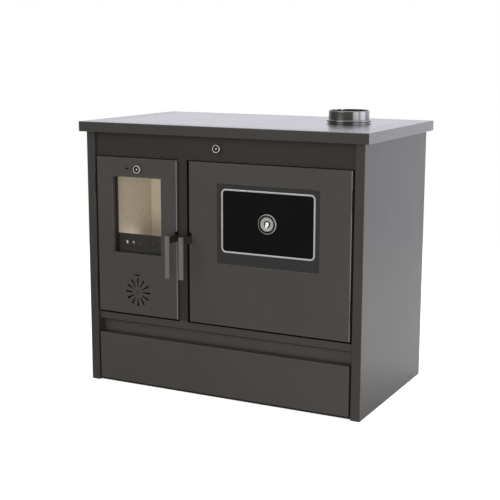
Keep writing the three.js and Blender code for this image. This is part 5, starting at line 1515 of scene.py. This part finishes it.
@dataclass
class OvenDoor:
    """The oven door: its trimmed window and its thermometer."""

    trim_radius: float = 15 * MM
    trim_band: float = 5.5 * MM
    trim_step: float = 3 * MM
    trim_foot: float = 0.35
    trim_foot_width: float = 0.98
    trim_steps: int = 12

    def trim(self) -> Piece:
        """The polished band: a half-round profile on a low foot, carried round the window.

        Returns:
            The piece.
        """
        low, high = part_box("oven_window_trim")
        half, proud = self.trim_band / 2, high.y - low.y
        loop = rounded_loop((low.x, high.x, low.z, high.z), half, self.trim_radius - half, self.trim_step)
        turn = np.linspace(0, np.pi, self.trim_steps)
        rise = self.trim_foot + (1 - self.trim_foot) * np.sin(turn)
        crown = np.stack([half * np.cos(turn), proud * rise], axis=1)
        foot = half * self.trim_foot_width
        section = np.array([(foot, 0.0), *crown, (-foot, 0.0)])
        return mesh_object("oven_window_trim_band", carried(section, loop, high.y), 50)

    def build(self) -> None:
        """Builds the door, its glass and its thermometer."""
        door = Door("oven_door", "oven_handle")
        door.skin()
        Edged("oven_door", [
            ("oven_window_surround", "surround_enamel", Paint.SURROUND.value, 0.3),
            ("oven_window_glass", "black_glass", BLACK_GLASS, 0.4),
            ("oven_door_liner", "inner_steel", Metal.SHEET.value, 0.4),
            ("oven_inner_glass", "black_glass", BLACK_GLASS, 0.4),
        ]).build()
        join(self.trim(), "oven_door", "trim_chrome", Metal.CHROME.value, "oven_window_trim")
        Thermometer().build()
        door.fit()


@dataclass
class FuelDrawer:
    """The drawer under the doors, and its rails."""

    def build(self) -> None:
        """Builds the front, the box and the rails."""
        Edged("drawer", [
            ("drawer_front", "door_paint", Paint.DOOR.value, 0.5),
            ("drawer_box", "inner_steel", Metal.SHEET.value, 0.5),
        ]).build()
        Edged("stove_body", [
            ("drawer_rail_left", "inner_steel", Metal.SHEET.value, 0.4),
            ("drawer_rail_right", "inner_steel", Metal.SHEET.value, 0.4),
        ]).build()


# ------------------------------------------------------------------ studio
@dataclass(frozen=True)
class Lamp:
    """A rectangular soft lamp, in metres and watts, which metal mirrors or not."""

    name: str
    place: Point
    aim: Point
    size: Pair
    power: float
    mirrored: bool = True

    def build(self) -> None:
        """Hangs the lamp, unseen by the camera and through glass."""
        data = bpy.data.lights.new(self.name, "AREA")
        data.shape = "RECTANGLE"
        data.size, data.size_y = self.size
        data.energy = self.power
        lamp = bpy.data.objects.new(self.name, data)
        lamp.location = self.place
        lamp.rotation_euler = (Vector(self.aim) - Vector(self.place)).to_track_quat("-Z", "Y").to_euler()
        lamp.visible_camera = False
        lamp.visible_transmission = False
        lamp.visible_glossy = self.mirrored
        bpy.context.scene.collection.objects.link(lamp)


LAMPS = (
    Lamp("key_lamp", (-1.6, -3.6, 2.6), (0, -0.2, 0.45), (2.4, 2.0), 42),
    Lamp("top_lamp", (0.2, -0.2, 3.4), (0, 0, 0.5), (2.6, 2.2), 22),
    Lamp("right_front_lamp", (2.91, -1.41, 0.87), (0.29, 0.055, 0.87), (1.7, 2.2), 22),
    Lamp("right_back_lamp", (3.19, 0.83, 0.87), (0.29, 0.055, 0.87), (1.9, 2.2), 24),
    Lamp("low_front_lamp", (1.3, -3.3, 0.35), (0, -0.27, 0.25), (1.6, 1.0), 40, mirrored=False),
    Lamp("fire_lamp", (-0.2, -0.22, 0.58), (-0.29, 0.0, 0.56), (0.03, 0.25), 0.3, mirrored=False),
    Lamp("ember_lamp", (-0.37, -0.15, 0.462), (-0.405, -0.15, 0.46), (0.12, 0.02), 0.022, mirrored=False),
)


@dataclass
class Studio:
    """The camera, the lamps, the backdrop and the pale floor."""

    target: Point = (-0.0214, -0.0109, 0.4284)
    distance: float = 3.6097
    azimuth_degrees: float = 26.93
    elevation_degrees: float = 10.73
    roll_degrees: float = 0.15
    focal_mm: float = 79.3
    sensor_mm: float = 36
    floor_radius: float = 2.6
    floor_top: float = -1 * MM
    floor_thickness: float = 1 * MM
    floor_sides: int = 96
    floor_tones: tuple[Colour, Colour] = ((0.86, 0.86, 0.86), (0.88, 0.88, 0.88))
    floor_roughness: float = 0.9
    floor_specular: float = 0.1
    floor_glow: float = 0.7
    mirrored_glow: float = 0.75
    ambient: float = 0.5
    white: Colour = (1.0, 1.0, 1.0)
    dark_front: Colour = (0.29, 0.272, 0.242)
    bright_back: Colour = (1.19, 1.185, 1.27)

    def camera(self) -> None:
        """A camera on a sphere about the target, turned a little about its own axis."""
        azimuth, elevation = math.radians(self.azimuth_degrees), math.radians(self.elevation_degrees)
        flat = math.cos(elevation)
        back = Vector((math.sin(azimuth) * flat, -math.cos(azimuth) * flat, math.sin(elevation)))
        right = Vector((math.cos(azimuth), math.sin(azimuth), 0))
        up = back.cross(right)
        roll = math.radians(self.roll_degrees)
        right, up = right * math.cos(roll) + up * math.sin(roll), up * math.cos(roll) - right * math.sin(roll)
        data = bpy.data.cameras.new("camera")
        data.lens = self.focal_mm
        data.sensor_width = self.sensor_mm
        camera = bpy.data.objects.new("camera", data)
        turn = Matrix([right, up, back]).transposed().to_4x4()
        camera.matrix_world = Matrix.Translation(Vector(self.target) + back * self.distance) @ turn
        bpy.context.scene.collection.objects.link(camera)
        bpy.context.scene.camera = camera

    def behind(self, graph: Graph, place: Socket, low: float, high: float) -> Socket:
        """A share that grows from the front of the studio to its back, at a place or along a direction.

        Args:
            graph: the graph it is added to.
            place: the place or the direction.
            low: how far back the share begins.
            high: how far back it is whole.

        Returns:
            The share.
        """
        parts = graph.add("SeparateXYZ", {0: place}).outputs
        depth = graph.math("ADD", parts["Y"], graph.math("MULTIPLY", parts["X"], 0.3))
        return graph.span(depth, low, high)

    def paths(self, graph: Graph) -> tuple[Socket, Socket]:
        """How a ray comes to what it meets.

        Args:
            graph: the graph it is added to.

        Returns:
            Two shares: looked at straight or through glass, and looked at by way of a mirroring face.
        """
        path = graph.add("LightPath").outputs
        mirrored = graph.math("MINIMUM", path["Glossy Depth"], 1.0)
        bounced = graph.math("ADD", mirrored, path["Diffuse Depth"], clamp=True)
        through = graph.math("MULTIPLY", path["Is Transmission Ray"], graph.math("SUBTRACT", 1.0, bounced))
        return graph.math("MAXIMUM", path["Is Camera Ray"], through), mirrored

    def world(self) -> None:
        """A backdrop that is white to the eye, dark in front and bright behind in reflections.

        On dull surfaces it is an even light.
        """
        world = bpy.data.worlds.new("studio")
        world.use_nodes = True
        bpy.context.scene.world = world
        graph = Graph(world.node_tree)
        seen, mirrored = self.paths(graph)
        back = self.behind(graph, graph.add("TexCoord").outputs["Generated"], -0.3, 0.5)
        studio = graph.blend(back, full(self.dark_front), full(self.bright_back))
        lit = graph.blend(mirrored, full((self.ambient,) * 3), studio)
        graph.feed(world.node_tree.nodes["Background"], {"Color": graph.blend(seen, lit, full(self.white))})

    def floor(self) -> None:
        """A pale disc that keeps the stove's shadow and fades into the backdrop.

        In reflections it is dark in front.
        """
        radius, top = self.floor_radius, self.floor_top
        bottom = top - self.floor_thickness
        profile = [(0, bottom), (radius, bottom), (radius, top), (0, top)]
        floor = mesh_object("floor", turned(profile, (0, 0, 0), Axis.UP, self.floor_sides))
        material = bpy.data.materials.new("pale_floor")
        material.use_nodes = True
        nodes = material.node_tree.nodes
        graph = Graph(material.node_tree)
        place = graph.place()
        tones = (full(tone) for tone in self.floor_tones)
        tone = graph.blend(graph.noise(place, scale=30.0, detail=3.0), *tones)
        seen, mirrored = self.paths(graph)
        back = self.behind(graph, place, -0.8, 0.6)
        dark = graph.math("MULTIPLY", mirrored, graph.math("SUBTRACT", 1.0, back))
        shader = graph.feed(nodes["Principled BSDF"], {
            "Base Color": graph.blend(dark, tone, full(self.dark_front)),
            "Roughness": self.floor_roughness,
            "Specular IOR Level": self.floor_specular,
        })
        bright = graph.math("MULTIPLY", mirrored, graph.math("MULTIPLY", back, self.mirrored_glow))
        strength = graph.math("MULTIPLY", graph.math("MAXIMUM", seen, bright), self.floor_glow)
        glow = graph.add("Emission", {"Color": full(self.white), "Strength": strength})
        both = graph.add("AddShader", {0: shader.outputs[0], 1: glow.outputs[0]})
        graph.feed(nodes["Material Output"], {"Surface": both.outputs[0]})
        floor.data.materials.append(material)

    def build(self) -> None:
        """Sets up the studio."""
        bpy.context.scene.view_settings.view_transform = "Standard"
        self.camera()
        self.world()
        self.floor()
        for lamp in LAMPS:
            lamp.build()


def main() -> None:
    """Builds the studio and every sub-assembly."""
    logging.basicConfig(level=logging.INFO, format="%(name)s: %(message)s")
    Studio().build()
    assemblies = (Carcass(), Hob(), FlueOutlet(), Firebox(), OvenChamber(),
                  FireDoor(), OvenDoor(), FuelDrawer())
    for assembly in assemblies:
        LOG.info("building %s", type(assembly).__name__)
        assembly.build()


if __name__ == "__main__":
    main()
